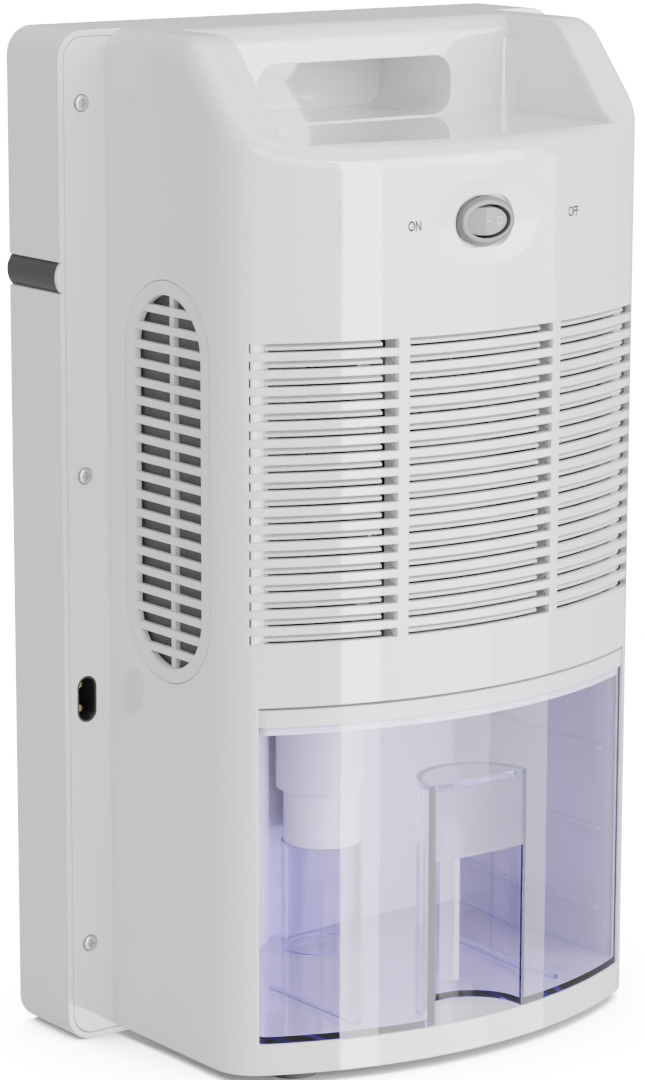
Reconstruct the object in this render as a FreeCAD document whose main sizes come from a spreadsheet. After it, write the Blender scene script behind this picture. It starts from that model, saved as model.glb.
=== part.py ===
import FreeCAD, Part
import math
import os
import Sketcher

# A free-standing Peltier dehumidifier, in millimetres. +Z is up, the front faces -Y, and the
# origin is at the middle of the footprint on the surface that the appliance stands on.

doc = FreeCAD.newDocument("Dehumidifier")
sheet = doc.addObject("Spreadsheet::Sheet", "Size")


# ---------------------------------------------------------------- sizes

class Size:
    """A length that knows both its value and the sheet expression it comes from."""

    def __init__(self, text, value):
        self.text = text
        self.value = value

    def __add__(self, other):
        other = as_size(other)
        return Size("(" + self.text + " + " + other.text + ")", self.value + other.value)

    def __sub__(self, other):
        other = as_size(other)
        return Size("(" + self.text + " - " + other.text + ")", self.value - other.value)

    def __mul__(self, other):
        other = as_size(other)
        return Size("(" + self.text + " * " + other.text + ")", self.value * other.value)

    def __truediv__(self, other):
        other = as_size(other)
        return Size("(" + self.text + " / " + other.text + ")", self.value / other.value)

    def __radd__(self, other):
        return as_size(other) + self

    def __rsub__(self, other):
        return as_size(other) - self

    def __rmul__(self, other):
        return as_size(other) * self

    def __neg__(self):
        return Size("(0 - " + self.text + ")", -self.value)


def as_size(number):
    if isinstance(number, Size):
        return number
    return Size(repr(float(number)), float(number))


def root(square):
    return Size("sqrt(" + square.text + ")", math.sqrt(square.value))


def smaller(first, second):
    return Size("min(" + first.text + "; " + second.text + ")", min(first.value, second.value))


sheet_rows = []


def size(alias, value, note):
    """One driving dimension: a cell of the sheet that holds a plain number."""
    row = len(sheet_rows) + 1
    sheet_rows.append(alias)
    sheet.set("A%d" % row, alias)
    sheet.set("B%d" % row, repr(float(value)))
    sheet.set("C%d" % row, note)
    sheet.setAlias("B%d" % row, alias)
    return Size("Size." + alias, float(value))


# Overall
height = size("height", 360.0, "floor to top")
slab_width = size("slab_width", 217.8, "rear slab, side to side")
slab_depth = size("slab_depth", 32.5, "rear slab, ledge to back")
slab_corner = size("slab_corner", 10.0, "corner radius of the slab seen from the front")
shell_width = size("shell_width", 179.4, "front shell, side to side")
shell_depth = size("shell_depth", 99.5, "ledge to the middle of the curved front")
shell_corner = size("shell_corner", 17.0, "vertical corner radius of the shell")
front_radius = size("front_radius", 170.0, "radius of the curved front")
wall = size("wall", 2.5, "moulded wall")
rim = size("rim", 2.2, "rim of the rear tray")
seam = size("seam", 0.2, "gap between fixed mouldings")
ground_gap = size("ground_gap", 4.0, "floor to the underside of the shell")
# Handle recess at the top
cheek = size("cheek", 19.7, "width of each cheek beside the recess")
recess_floor = size("recess_floor", 34.5, "top down to the recess floor")
recess_reach = size("recess_reach", 24.0, "ledge forward to the recess back wall")
slope_top = size("slope_top", 49.5, "ledge forward to the top of the cheek slope")
slope_foot = size("slope_foot", 79.5, "ledge forward to the foot of the cheek slope")
slope_blend = size("slope_blend", 15.0, "blend radius at both ends of the slope")
outer_blend = size("outer_blend", 8.0, "radius of the outer top edges")
inner_blend = size("inner_blend", 2.0, "radius of the cheeks' inner edges")
recess_blend = size("recess_blend", 5.0, "radius of the recess's upright corners")
grip_width = size("grip_width", 85.0, "hand hole")
grip_height = size("grip_height", 21.5, "hand hole")
grip_depth = size("grip_depth", 42.0, "hand hole, back wall to its blind end")
# Tank bay and tank
lip = size("lip", 15.0, "floor of the bay, from the ground")
window_top = size("window_top", 135.0, "top of the tank window, from the ground")
window_width = size("window_width", 163.0, "tank window, side to side")
run_gap = size("run_gap", 0.5, "gap round the sliding tank")
float_gap = size("float_gap", 0.3, "gap under the tank and round small moving pieces")
tank_wall = size("tank_wall", 2.2, "clear tank wall")
tank_corner = size("tank_corner", 4.0, "vertical corner radius of the tank")
tank_reach = size("tank_reach", 18.5, "ledge back to the tank's rear face")
lid_height = size("lid_height", 6.0, "lid band")
lid_gap = size("lid_gap", 1.0, "lid to the window's top edge")
notch_radius = size("notch_radius", 19.5, "finger notch")
notch_roof = size("notch_roof", 100.0, "roof of the finger notch, from the ground")
plate_height = size("plate_height", 25.0, "grip plate across the notch")
float_x = size("float_x", 2.0, "float, right of the middle")
float_back = size("float_back", 2.0, "float, forward of the ledge")
stand_radius = size("stand_radius", 15.0, "stand that the float rests on")
stand_top = size("stand_top", 58.0, "top of the stand, from the ground")
float_radius = size("float_radius", 14.2, "float")
float_height = size("float_height", 40.0, "float")
collar_radius = size("collar_radius", 17.0, "collar under the lid, outside")
collar_foot = size("collar_foot", 79.0, "lower end of the collar, from the ground")
drain_x = size("drain_x", -36.0, "drip spout, from the middle")
drain_radius = size("drain_radius", 5.0, "drip spout, outside")
drain_back = size("drain_back", 3.5, "drip spout, forward of the ledge")
bay_setback = size("bay_setback", 32.0, "middle of the curved front back to the bay's side walls")
bay_gap = size("bay_gap", 0.7, "bay liner to the inside of the shell")
guide_low = size("guide_low", 17.2, "bay floor to the lowest guide rib")
guide_pitch = size("guide_pitch", 30.5, "guide rib to guide rib")
guide_thick = size("guide_thick", 1.6, "guide rib")
lid_plate = size("lid_plate", 2.5, "lid plate")
skirt_drop = size("skirt_drop", 3.0, "lid skirt inside the tank")
runner_x = size("runner_x", 44.5, "runner rib on the tank floor, from the middle")
runner_width = size("runner_width", 1.8, "runner rib, width and height")
runner_start = size("runner_start", 13.5, "tank front to the runner ribs")
runner_end = size("runner_end", 30.0, "ledge forward to the runner ribs")
magnet_radius = size("magnet_radius", 4.0, "float magnet")
magnet_height = size("magnet_height", 3.0, "float magnet")
# Louvres and grilles
louvre_rows = size("louvre_rows", 18, "rows of front slots")
louvre_low = size("louvre_low", 158.7, "middle of the lowest slot, from the ground")
louvre_pitch = size("louvre_pitch", 5.87, "row to row")
louvre_slot = size("louvre_slot", 3.1, "slot height")
louvre_rib = size("louvre_rib", 4.0, "rib between slot columns")
louvre_rib_x = size("louvre_rib_x", 33.3, "rib to the middle")
louvre_end = size("louvre_end", 84.0, "outer end of a slot, from the middle")
blade_reach = size("blade_reach", 4.5, "louvre blade, front to back")
blade_rise = size("blade_rise", 2.6, "louvre blade, front edge up to its back edge")
blade_thick = size("blade_thick", 1.0, "louvre blade")
blade_gap_width = size("blade_gap_width", 4.2, "open end of each slot beside a rib")
grille_middle = size("grille_middle", 36.5, "ledge forward to the side grille's middle")
grille_level = size("grille_level", 207.3, "side grille's middle, from the ground")
grille_width = size("grille_width", 51.0, "side grille frame")
grille_height = size("grille_height", 140.6, "side grille frame")
grille_border = size("grille_border", 5.2, "frame of the side grille")
grille_slats = size("grille_slats", 19, "slats of a side grille")
grille_pitch = size("grille_pitch", 6.6, "slat to slat")
grille_slat = size("grille_slat", 2.7, "slat height")
grille_depth = size("grille_depth", 4.3, "side grille, outside to the back of its rib")
grille_edge = size("grille_edge", 3.1, "side grille, depth of its frame")
screen_thick = size("screen_thick", 0.8, "dust screen behind the side grille")
rear_slots = size("rear_slots", 18, "rows of the rear intake")
rear_pitch = size("rear_pitch", 6.6, "row to row")
rear_slot = size("rear_slot", 3.4, "slot height")
rear_low = size("rear_low", 171.6, "middle of the lowest rear slot, from the ground")
rear_half = size("rear_half", 54.0, "rear intake, half width")
# Side bumpers and screws
bumper_low = size("bumper_low", 270.0, "lower edge of the side bumper, from the ground")
bumper_width = size("bumper_width", 11.0, "side bumper band")
bumper_bulge = size("bumper_bulge", 1.2, "how far the band stands out")
bumper_seat = size("bumper_seat", 1.0, "depth of the groove that holds the band")
bumper_cap = size("bumper_cap", 1.6, "moulded stop in front of the band")
screw_inset = size("screw_inset", 9.5, "slab side to a housing screw")
screw_low = size("screw_low", 35.7, "lowest housing screw, from the ground")
screw_middle = size("screw_middle", 205.5, "middle housing screw, from the ground")
screw_high = size("screw_high", 24.8, "top down to the highest housing screw")
screw_head = size("screw_head", 5.7, "pan head diameter of an M3 screw")
screw_shank = size("screw_shank", 2.9, "shank of an M3 screw")
screw_length = size("screw_length", 14.0, "under the head")
head_height = size("head_height", 1.7, "pan head")
fit_gap = size("fit_gap", 0.1, "fastener to its hole, on the radius")
boss_radius = size("boss_radius", 3.6, "screw boss")
# Mains inlet
inlet_level = size("inlet_level", 125.5, "inlet's middle, from the ground")
inlet_inset = size("inlet_inset", 9.3, "slab side to the inlet's middle")
inlet_width = size("inlet_width", 8.2, "socket of a two-pole inlet")
inlet_height = size("inlet_height", 16.8, "socket of a two-pole inlet")
inlet_depth = size("inlet_depth", 14.0, "socket depth behind the flange")
inlet_body = size("inlet_body", 22.0, "inlet body, behind the flange")
pin_radius = size("pin_radius", 1.2, "inlet pin")
pin_pitch = size("pin_pitch", 8.6, "pin to pin")
# Switch
switch_level = size("switch_level", 297.5, "switch's middle, from the ground")
bezel_width = size("bezel_width", 24.6, "oval bezel")
bezel_height = size("bezel_height", 17.2, "oval bezel")
bezel_border = size("bezel_border", 2.8, "bezel round the rocker")
dish_width = size("dish_width", 45.5, "oval dish round the switch")
dish_height = size("dish_height", 30.0, "oval dish round the switch")
dish_depth = size("dish_depth", 2.8, "depth of the dish at its middle")
bezel_back = size("bezel_back", 2.4, "outer edge of the bezel behind the shell's front")
bezel_thick = size("bezel_thick", 1.2, "edge of the bezel")
bezel_brow = size("bezel_brow", 0.6, "flat brow round the rocker")
switch_depth = size("switch_depth", 22.0, "bezel face to the back of the switch body")
switch_shell = size("switch_shell", 1.0, "wall of the switch body")
rocker_gap = size("rocker_gap", 0.35, "rocker to the opening")
pivot_depth = size("pivot_depth", 5.0, "bezel's brow to the rocker's pivot")
rocker_drop = size("rocker_drop", 0.3, "rocker face below the bezel's brow")
rocker_depth = size("rocker_depth", 5.0, "pivot to the back of the rocker")
rocker_tilt = size("rocker_tilt", 12.0, "rocker angle either side of middle, degrees")
# Air path and cold side
fan_level = size("fan_level", 208.0, "fan's middle, from the ground")
fan_size = size("fan_size", 92.0, "fan frame, square")
fan_depth = size("fan_depth", 25.0, "fan frame, front to back")
fan_setback = size("fan_setback", 17.5, "middle of the curved front back to the fan's front face")
fan_rim = size("fan_rim", 3.0, "side of the fan frame to the air way")
hub_radius = size("hub_radius", 18.0, "impeller hub")
fan_corner = size("fan_corner", 4.75, "side of the fan frame to a fan screw")
blade_gap = size("blade_gap", 0.9, "blade tip to the air way")
blade_count = size("blade_count", 7, "impeller blades")
sink_width = size("sink_width", 90.0, "both heat sinks, side to side")
sink_base = size("sink_base", 4.0, "base plate of each heat sink")
hot_fins = size("hot_fins", 22.0, "fin height, hot side")
cold_fins = size("cold_fins", 19.0, "fin height, cold side")
cold_height = size("cold_height", 74.0, "cold heat sink, top to bottom")
fin_pitch = size("fin_pitch", 6.0, "fin to fin")
fin_thick = size("fin_thick", 1.4, "fin")
peltier_side = size("peltier_side", 40.0, "thermoelectric module")
peltier_thick = size("peltier_thick", 3.8, "thermoelectric module")
spacer_thick = size("spacer_thick", 14.0, "aluminium block behind the module")
gasket_side = size("gasket_side", 66.0, "foam round the block")
clamp_pitch = size("clamp_pitch", 78.0, "clamp screws, side to side")
clamp_rise = size("clamp_rise", 18.5, "clamp screws, above and below the fan's middle")
tray_wall = size("tray_wall", 1.8, "drip tray")
tray_height = size("tray_height", 14.0, "drip tray")
tray_width = size("tray_width", 104.0, "drip tray")
tray_front_gap = size("tray_front_gap", 15.0, "ledge forward to the drip tray's front")
tray_back_gap = size("tray_back_gap", 15.0, "ledge back to the drip tray's back")
tray_drop = size("tray_drop", 4.0, "cold heat sink to the drip tray")
# Electronics and feet
board_width = size("board_width", 112.0, "power board")
board_height = size("board_height", 52.0, "power board")
board_thick = size("board_thick", 1.6, "both circuit boards")
board_low = size("board_low", 262.0, "lower edge of the power board, from the ground")
board_reach = size("board_reach", 18.0, "ledge forward to the power board's back")
component_reach = size("component_reach", 20.0, "tallest component on the power board")
sensor_height = size("sensor_height", 6.0, "tank sensor")
foot_x = size("foot_x", 62.0, "front foot, from the middle")
foot_front = size("foot_front", 28.0, "shell front back to the front feet")
foot_radius = size("foot_radius", 9.0, "front foot")

half_depth = (slab_depth + shell_depth) / 2
back_y = half_depth
ledge_y = half_depth - slab_depth
front_y = -half_depth
flange_back = ledge_y + wall
arc_y = front_y + front_radius
slab_side = slab_width / 2
shell_side = shell_width / 2
screw_x = slab_side - screw_inset
screw_levels = [screw_low, screw_middle, height - screw_high]
fan_y = front_y + fan_setback
fan_bore = fan_size / 2 - fan_rim
fan_pitch = fan_size - 2 * fan_corner
tank_side = window_width / 2 - run_gap
tank_radius = front_radius - seam
tank_back = ledge_y + tank_reach
tank_floor = lip + float_gap
lid_top = window_top - lid_gap
tank_rim = lid_top - lid_height
bay_back = tank_back + run_gap
float_y = ledge_y - float_back
drain_y = ledge_y - drain_back


# ---------------------------------------------------------------- drawing helpers

NORMAL = {"XY_Plane": 1, "XZ_Plane": -1, "YZ_Plane": 1}
cuts = []
nodes = []


def new_body(name):
    body = doc.addObject("PartDesign::Body", name)
    body.Label = name
    nodes.append(body)
    return body


def new_sketch(body, role, name, at=0.0):
    """A sketch parallel to one of the body's own origin planes, at that place on its axis."""
    sketch = body.newObject("Sketcher::SketchObject", body.Name + "_" + name)
    plane = [part for part in body.Origin.OriginFeatures if part.Role == role][0]
    sketch.AttachmentSupport = [(plane, "")]
    sketch.MapMode = "FlatFace"
    place = as_size(at) * NORMAL[role]
    sketch.setExpression("AttachmentOffset.Base.z", place.text)
    return sketch


def constrain(sketch, rules):
    """Add (constraint, size or None) pairs and bind each size to the sheet."""
    first = sketch.ConstraintCount
    sketch.addConstraint([rule for rule, length in rules])
    for number, (rule, length) in enumerate(rules):
        if length is not None and "Size." in length.text:
            sketch.setExpression("Constraints[%d]" % (first + number), length.text)


def fix_point(geometry, end, x, y):
    x = as_size(x)
    y = as_size(y)
    return [
        (Sketcher.Constraint("DistanceX", geometry, end, x.value), x),
        (Sketcher.Constraint("DistanceY", geometry, end, y.value), y),
    ]


def point(x, y):
    return FreeCAD.Vector(as_size(x).value, as_size(y).value, 0)


def draw_outline(sketch, corners):
    """A closed outline, corner by corner: (x, y) before a straight side, or
    (x, y, centre x, centre y, radius, turn) before an arc that turns anticlockwise (1) or back (-1)."""
    first = sketch.GeometryCount
    count = len(corners)
    shapes = []
    rules = []
    ends = []
    for number, corner in enumerate(corners):
        after = corners[(number + 1) % count]
        if len(corner) == 2:
            shapes.append(Part.LineSegment(point(*corner), point(*after[:2])))
            ends.append((1, 2))
            continue
        middle = point(corner[2], corner[3])
        radius = as_size(corner[4])
        turn = corner[5]
        start = point(*corner[:2]) - middle
        finish = point(*after[:2]) - middle
        if turn < 0:
            start, finish = finish, start
        low = math.atan2(start.y, start.x)
        high = math.atan2(finish.y, finish.x)
        if high <= low:
            high += 2 * math.pi
        circle = Part.Circle(middle, FreeCAD.Vector(0, 0, 1), radius.value)
        shapes.append(Part.ArcOfCircle(circle, low, high))
        chord = finish - start
        level = abs(chord.x) > abs(chord.y)
        across = as_size(corner[3] if level else corner[2])
        kind = "DistanceY" if level else "DistanceX"
        rules.append((Sketcher.Constraint(kind, first + number, 3, across.value), across))
        ends.append((1, 2) if turn > 0 else (2, 1))
    sketch.addGeometry(shapes)
    for number, corner in enumerate(corners):
        after = (number + 1) % count
        joint = Sketcher.Constraint("Coincident", first + number, ends[number][1],
                                    first + after, ends[after][0])
        rules.append((joint, None))
        rules.extend(fix_point(first + number, ends[number][0], corner[0], corner[1]))
    constrain(sketch, rules)


def draw_box(sketch, left, right, low, high):
    draw_outline(sketch, [(left, low), (right, low), (right, high), (left, high)])


def draw_circle(sketch, x, y, radius):
    number = sketch.addGeometry(Part.Circle(point(x, y), FreeCAD.Vector(0, 0, 1), as_size(radius).value))
    radius = as_size(radius)
    rules = fix_point(number, 3, x, y)
    rules.append((Sketcher.Constraint("Radius", number, radius.value), radius))
    constrain(sketch, rules)


def draw_rounded(sketch, left, right, low, high, radius):
    """A rectangle with four equal round corners."""
    left, right, low, high = [as_size(edge) for edge in (left, right, low, high)]
    draw_outline(sketch, [
        (left + radius, low),
        (right - radius, low, right - radius, low + radius, radius, 1),
        (right, low + radius),
        (right, high - radius, right - radius, high - radius, radius, 1),
        (right - radius, high),
        (left + radius, high, left + radius, high - radius, radius, 1),
        (left, high - radius),
        (left, low + radius, left + radius, low + radius, radius, 1),
    ])


def draw_stadium(sketch, x, y, width, tall):
    """An upright slot with half-round ends."""
    radius = as_size(width) / 2
    reach = as_size(tall) / 2 - radius
    draw_outline(sketch, [
        (x + radius, y + reach, x, y + reach, radius, 1),
        (x - radius, y + reach),
        (x - radius, y - reach, x, y - reach, radius, 1),
        (x + radius, y - reach),
    ])


def draw_plan(sketch, side, radius, corner, back):
    """The curved-front outline seen from above: flat back and sides, rounded corners, arc front."""
    side, radius, corner, back = [as_size(length) for length in (side, radius, corner, back)]
    corner_x = side - corner
    drop = root((radius - corner) * (radius - corner) - corner_x * corner_x)
    corner_y = arc_y - drop
    meet_x = corner_x * radius / (radius - corner)
    meet_y = arc_y - drop * radius / (radius - corner)
    draw_outline(sketch, [
        (-side, back),
        (-side, corner_y, -corner_x, corner_y, corner, 1),
        (-meet_x, meet_y, 0.0, arc_y, radius, 1),
        (meet_x, meet_y, corner_x, corner_y, corner, 1),
        (side, corner_y),
        (side, back),
    ])


def pad(body, sketch, name, length, toward):
    feature = body.newObject("PartDesign::Pad", body.Name + "_" + name)
    feature.Profile = sketch
    feature.setExpression("Length", as_size(length).text)
    role = sketch.AttachmentSupport[0][0].Role
    feature.Reversed = toward != NORMAL[role]
    body.Tip = feature
    return feature


def pocket(body, sketch, name, length, toward):
    feature = body.newObject("PartDesign::Pocket", body.Name + "_" + name)
    feature.Profile = sketch
    feature.setExpression("Length", as_size(length).text)
    role = sketch.AttachmentSupport[0][0].Role
    feature.Reversed = toward == NORMAL[role]
    body.Tip = feature
    cuts.append(feature)
    return feature


def pocket_both(body, sketch, name, length):
    feature = body.newObject("PartDesign::Pocket", body.Name + "_" + name)
    feature.Profile = sketch
    feature.setExpression("Length", as_size(length).text)
    feature.Midplane = True
    body.Tip = feature
    cuts.append(feature)
    return feature


def row_of(body, feature, name, role, length, count):
    """Repeat a feature in a straight row along one of the body's axes."""
    pattern = body.newObject("PartDesign::LinearPattern", body.Name + "_" + name)
    pattern.Originals = [feature]
    axis = [part for part in body.Origin.OriginFeatures if part.Role == role][0]
    pattern.Direction = (axis, [""])
    pattern.setExpression("Length", as_size(length).text)
    pattern.setExpression("Occurrences", as_size(count).text)
    body.Tip = pattern
    return pattern


def fillet(body, name, radius, wanted):
    """Round the edges of the body's tip that the test accepts."""
    doc.recompute()
    base = body.Tip
    names = ["Edge%d" % (number + 1) for number, edge in enumerate(base.Shape.Edges) if wanted(edge)]
    feature = body.newObject("PartDesign::Fillet", body.Name + "_" + name)
    feature.Base = (base, names)
    feature.setExpression("Radius", as_size(radius).text)
    body.Tip = feature
    return feature


def near(value, target, slack=0.05):
    return abs(value - as_size(target).value) < slack


def box_part(name, low, high):
    """A plain block between two corners, as a bound Part box."""
    block = doc.addObject("Part::Box", name)
    for prop, index in (("Length", 0), ("Width", 1), ("Height", 2)):
        span = as_size(high[index]) - as_size(low[index])
        block.setExpression(prop, span.text)
    set_place(block, low)
    return block


def set_place(piece, place):
    for axis, length in zip("xyz", place):
        piece.setExpression("Placement.Base." + axis, as_size(length).text)


def rod_part(name, place, radius, length, along="y"):
    """A plain cylinder that starts at a place and runs along +Y or +Z."""
    rod = doc.addObject("Part::Cylinder", name)
    rod.setExpression("Radius", as_size(radius).text)
    rod.setExpression("Height", as_size(length).text)
    if along == "y":
        rod.Placement = FreeCAD.Placement(FreeCAD.Vector(), FreeCAD.Rotation(FreeCAD.Vector(1, 0, 0), -90))
    set_place(rod, place)
    return rod


def group(name, pieces):
    """Separate solids that share one node."""
    bundle = doc.addObject("Part::Compound", name)
    bundle.Links = pieces
    bundle.Label = name
    nodes.append(bundle)
    return bundle


def fused(name, pieces, keep=True):
    joined = doc.addObject("Part::MultiFuse", name)
    joined.Shapes = pieces
    joined.Label = name
    if keep:
        nodes.append(joined)
    return joined


def minus(name, base, tool, keep=True):
    cut = doc.addObject("Part::Cut", name)
    cut.Base = base
    cut.Tool = tool
    cut.Label = name
    if keep:
        nodes.append(cut)
    return cut


def keep_node(piece, name):
    piece.Label = name
    nodes.append(piece)
    return piece


# ---------------------------------------------------------------- rear housing

def make_rear_housing():
    """The rear tray: back wall with the intake slots, rim, six screw bosses and bumper grooves."""
    body = new_body("rear_housing")
    outline = new_sketch(body, "XZ_Plane", "outline", back_y)
    draw_rounded(outline, -slab_side, slab_side, 0.0, height, slab_corner)
    pad(body, outline, "block", slab_depth, -1)
    inside = new_sketch(body, "XZ_Plane", "inside", ledge_y)
    draw_rounded(inside, rim - slab_side, slab_side - rim, rim, height - rim, slab_corner - rim)
    pocket(body, inside, "hollow", slab_depth - wall, 1)
    bosses = new_sketch(body, "XZ_Plane", "bosses", back_y - wall)
    holes = new_sketch(body, "XZ_Plane", "holes", flange_back)
    for level in screw_levels:
        for x in (-screw_x, screw_x):
            draw_circle(bosses, x, level, boss_radius)
            draw_circle(holes, x, level, screw_shank / 2 + fit_gap)
    pad(body, bosses, "boss_posts", back_y - wall - flange_back, -1)
    pocket(body, holes, "boss_holes", screw_length, 1)
    slot = new_sketch(body, "XZ_Plane", "slot", back_y)
    for side in (-1, 1):
        inner = side * louvre_rib / 2
        outer = side * rear_half
        draw_box(slot, smaller(inner, outer), inner + outer - smaller(inner, outer),
                 rear_low - rear_slot / 2, rear_low + rear_slot / 2)
    first = pocket(body, slot, "first_slot", 1.5 * wall, -1)
    row_of(body, first, "slots", "Z_Axis", rear_pitch * (rear_slots - 1), rear_slots)
    for name, side in (("left", -1), ("right", 1)):
        groove = new_sketch(body, "YZ_Plane", name + "_groove", side * slab_side)
        draw_box(groove, ledge_y, back_y + 1, bumper_low, bumper_low + bumper_width)
        pocket(body, groove, name + "_seat", bumper_seat, -side)
        stop = new_sketch(body, "XZ_Plane", name + "_stop", ledge_y)
        draw_band(stop, side, 0.0)
        pad(body, stop, name + "_cap", bumper_cap, 1)
    return body


def draw_band(sketch, side, inset):
    """The D-shaped section of a side bumper: a flat seat and a shallow bulge."""
    seat_x = side * (slab_side - bumper_seat)
    rise = bumper_seat + bumper_bulge - inset
    half = bumper_width / 2 - inset
    radius = (half * half + rise * rise) / (2 * rise)
    middle = bumper_low + bumper_width / 2
    draw_outline(sketch, [
        (seat_x, middle - side * half, seat_x + side * (rise - radius), middle, radius, 1),
        (seat_x, middle + side * half),
    ])


def make_side_bumper(name, side):
    """A black band pressed into the groove across the slab's side."""
    body = new_body(name)
    section = new_sketch(body, "XZ_Plane", "section", back_y)
    draw_band(section, side, seam / 2)
    pad(body, section, "band", slab_depth - bumper_cap, -1)
    return body


# ---------------------------------------------------------------- front housing

def make_front_housing():
    """The front shell and its flange in one moulding, with the handle recess, the switch dish,
    the louvre slots, the openings for the side grilles and the window and floor of the tank bay."""
    body = new_body("front_housing")
    plan = new_sketch(body, "XY_Plane", "plan", ground_gap)
    draw_plan(plan, shell_side, front_radius, shell_corner, ledge_y)
    pad(body, plan, "shell", height - ground_gap, 1)

    floor_z = height - recess_floor
    slope = new_sketch(body, "YZ_Plane", "slope")
    run = slope_foot - slope_top
    length = root(run * run + recess_floor * recess_floor)
    trim = slope_blend * (length - run) / recess_floor
    trim_y = trim * run / length
    trim_z = trim * recess_floor / length
    top_y = ledge_y - slope_top
    foot_y = ledge_y - slope_foot
    draw_outline(slope, [
        (top_y + trim, height + 1),
        (front_y - 1, height + 1),
        (front_y - 1, floor_z),
        (foot_y - trim, floor_z, foot_y - trim, floor_z + slope_blend, slope_blend, 1),
        (foot_y + trim_y, floor_z + trim_z),
        (top_y - trim_y, height - trim_z, top_y + trim, height - slope_blend, slope_blend, -1),
        (top_y + trim, height),
    ])
    pocket_both(body, slope, "slope_cut", shell_width + 2)

    def outer_top(edge):
        box = edge.BoundBox
        if box.ZMin < floor_z.value - 0.1 or box.YMin > ledge_y.value - 1:
            return False
        middle = edge.valueAt((edge.FirstParameter + edge.LastParameter) / 2)
        reach = math.hypot(middle.x, middle.y - arc_y.value)
        on_side = near(abs(middle.x), shell_side)
        on_front = near(reach, front_radius)
        corner_x = (shell_side - shell_corner).value
        corner_y = arc_y.value - math.sqrt((front_radius - shell_corner).value ** 2 - corner_x ** 2)
        on_corner = near(math.hypot(abs(middle.x) - corner_x, middle.y - corner_y), shell_corner)
        upright = box.XLength < 0.01 and box.YLength < 0.01
        return (on_side or on_front or on_corner) and not upright

    fillet(body, "outer_blends", outer_blend, outer_top)

    recess_half = shell_side - cheek
    recess_back = ledge_y - recess_reach
    recess = new_sketch(body, "XY_Plane", "recess", height)
    draw_rounded(recess, -recess_half, recess_half, front_y - 2 * recess_blend, recess_back, recess_blend)
    pocket(body, recess, "recess_cut", recess_floor, -1)
    soft = new_sketch(body, "YZ_Plane", "soft")
    draw_outline(soft, [
        (recess_back - recess_blend, height + 1),
        (recess_back - recess_blend, height - outer_blend),
        (recess_back, height - outer_blend,
         recess_back + outer_blend, height - outer_blend, outer_blend, -1),
        (recess_back + outer_blend, height),
        (recess_back + outer_blend, height + 1),
    ])
    pocket_both(body, soft, "soft_edge", 2 * recess_half)

    def cheek_edges(edge):
        box = edge.BoundBox
        above = box.ZMin > (floor_z + 0.5).value
        return above and box.XLength < 0.01 and near(abs(box.XMin), recess_half) \
            and box.YMax < recess_back.value

    fillet(body, "cheek_blends", inner_blend, cheek_edges)

    hollow_top = floor_z - 2 * wall
    hollow = new_sketch(body, "XY_Plane", "hollow", hollow_top)
    draw_plan(hollow, shell_side - wall, front_radius - wall, shell_corner - wall, ledge_y + 1)
    pocket(body, hollow, "main_hollow", hollow_top - lip, -1)
    under = new_sketch(body, "XY_Plane", "under", ground_gap)
    draw_plan(under, shell_side - wall, front_radius - wall, shell_corner - wall, ledge_y - wall)
    pocket(body, under, "under_hollow", lip - wall - ground_gap, 1)
    cheek_out = shell_side - outer_blend / 2 - wall
    cheek_in = recess_half + wall
    cheek_front = ledge_y - slope_top + slope_blend
    behind = ledge_y - recess_reach + wall
    upper = new_sketch(body, "XY_Plane", "upper", height - 1.5 * wall)
    draw_outline(upper, [
        (-cheek_out, ledge_y + 1), (-cheek_out, cheek_front), (-cheek_in, cheek_front),
        (-cheek_in, behind), (cheek_in, behind), (cheek_in, cheek_front),
        (cheek_out, cheek_front), (cheek_out, ledge_y + 1),
    ])
    pocket(body, upper, "upper_hollow", height - 1.5 * wall - hollow_top + 1, -1)

    flange = new_sketch(body, "XZ_Plane", "flange", flange_back)
    draw_rounded(flange, rim + seam - slab_side, slab_side - rim - seam,
                 rim + seam, height - rim - seam, slab_corner - rim)
    pad(body, flange, "flange_plate", wall, -1)
    opening = new_sketch(body, "XZ_Plane", "opening", flange_back)
    draw_box(opening, wall - shell_side, shell_side - wall, lip, height - 2 * wall)
    pocket(body, opening, "flange_opening", wall, -1)

    well_low = floor_z - wall
    grip_top = floor_z + grip_height
    well = new_sketch(body, "XZ_Plane", "well", behind - 0.5 * wall)
    draw_rounded(well, -grip_width / 2 - wall, grip_width / 2 + wall, well_low, grip_top + wall, wall)
    pad(body, well, "well_box", grip_depth, 1)
    grip = new_sketch(body, "XZ_Plane", "grip", ledge_y - recess_reach)
    draw_rounded(grip, -grip_width / 2, grip_width / 2, floor_z + 0.5, grip_top, 7.5)
    pocket(body, grip, "grip_hole", grip_depth, 1)

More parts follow.
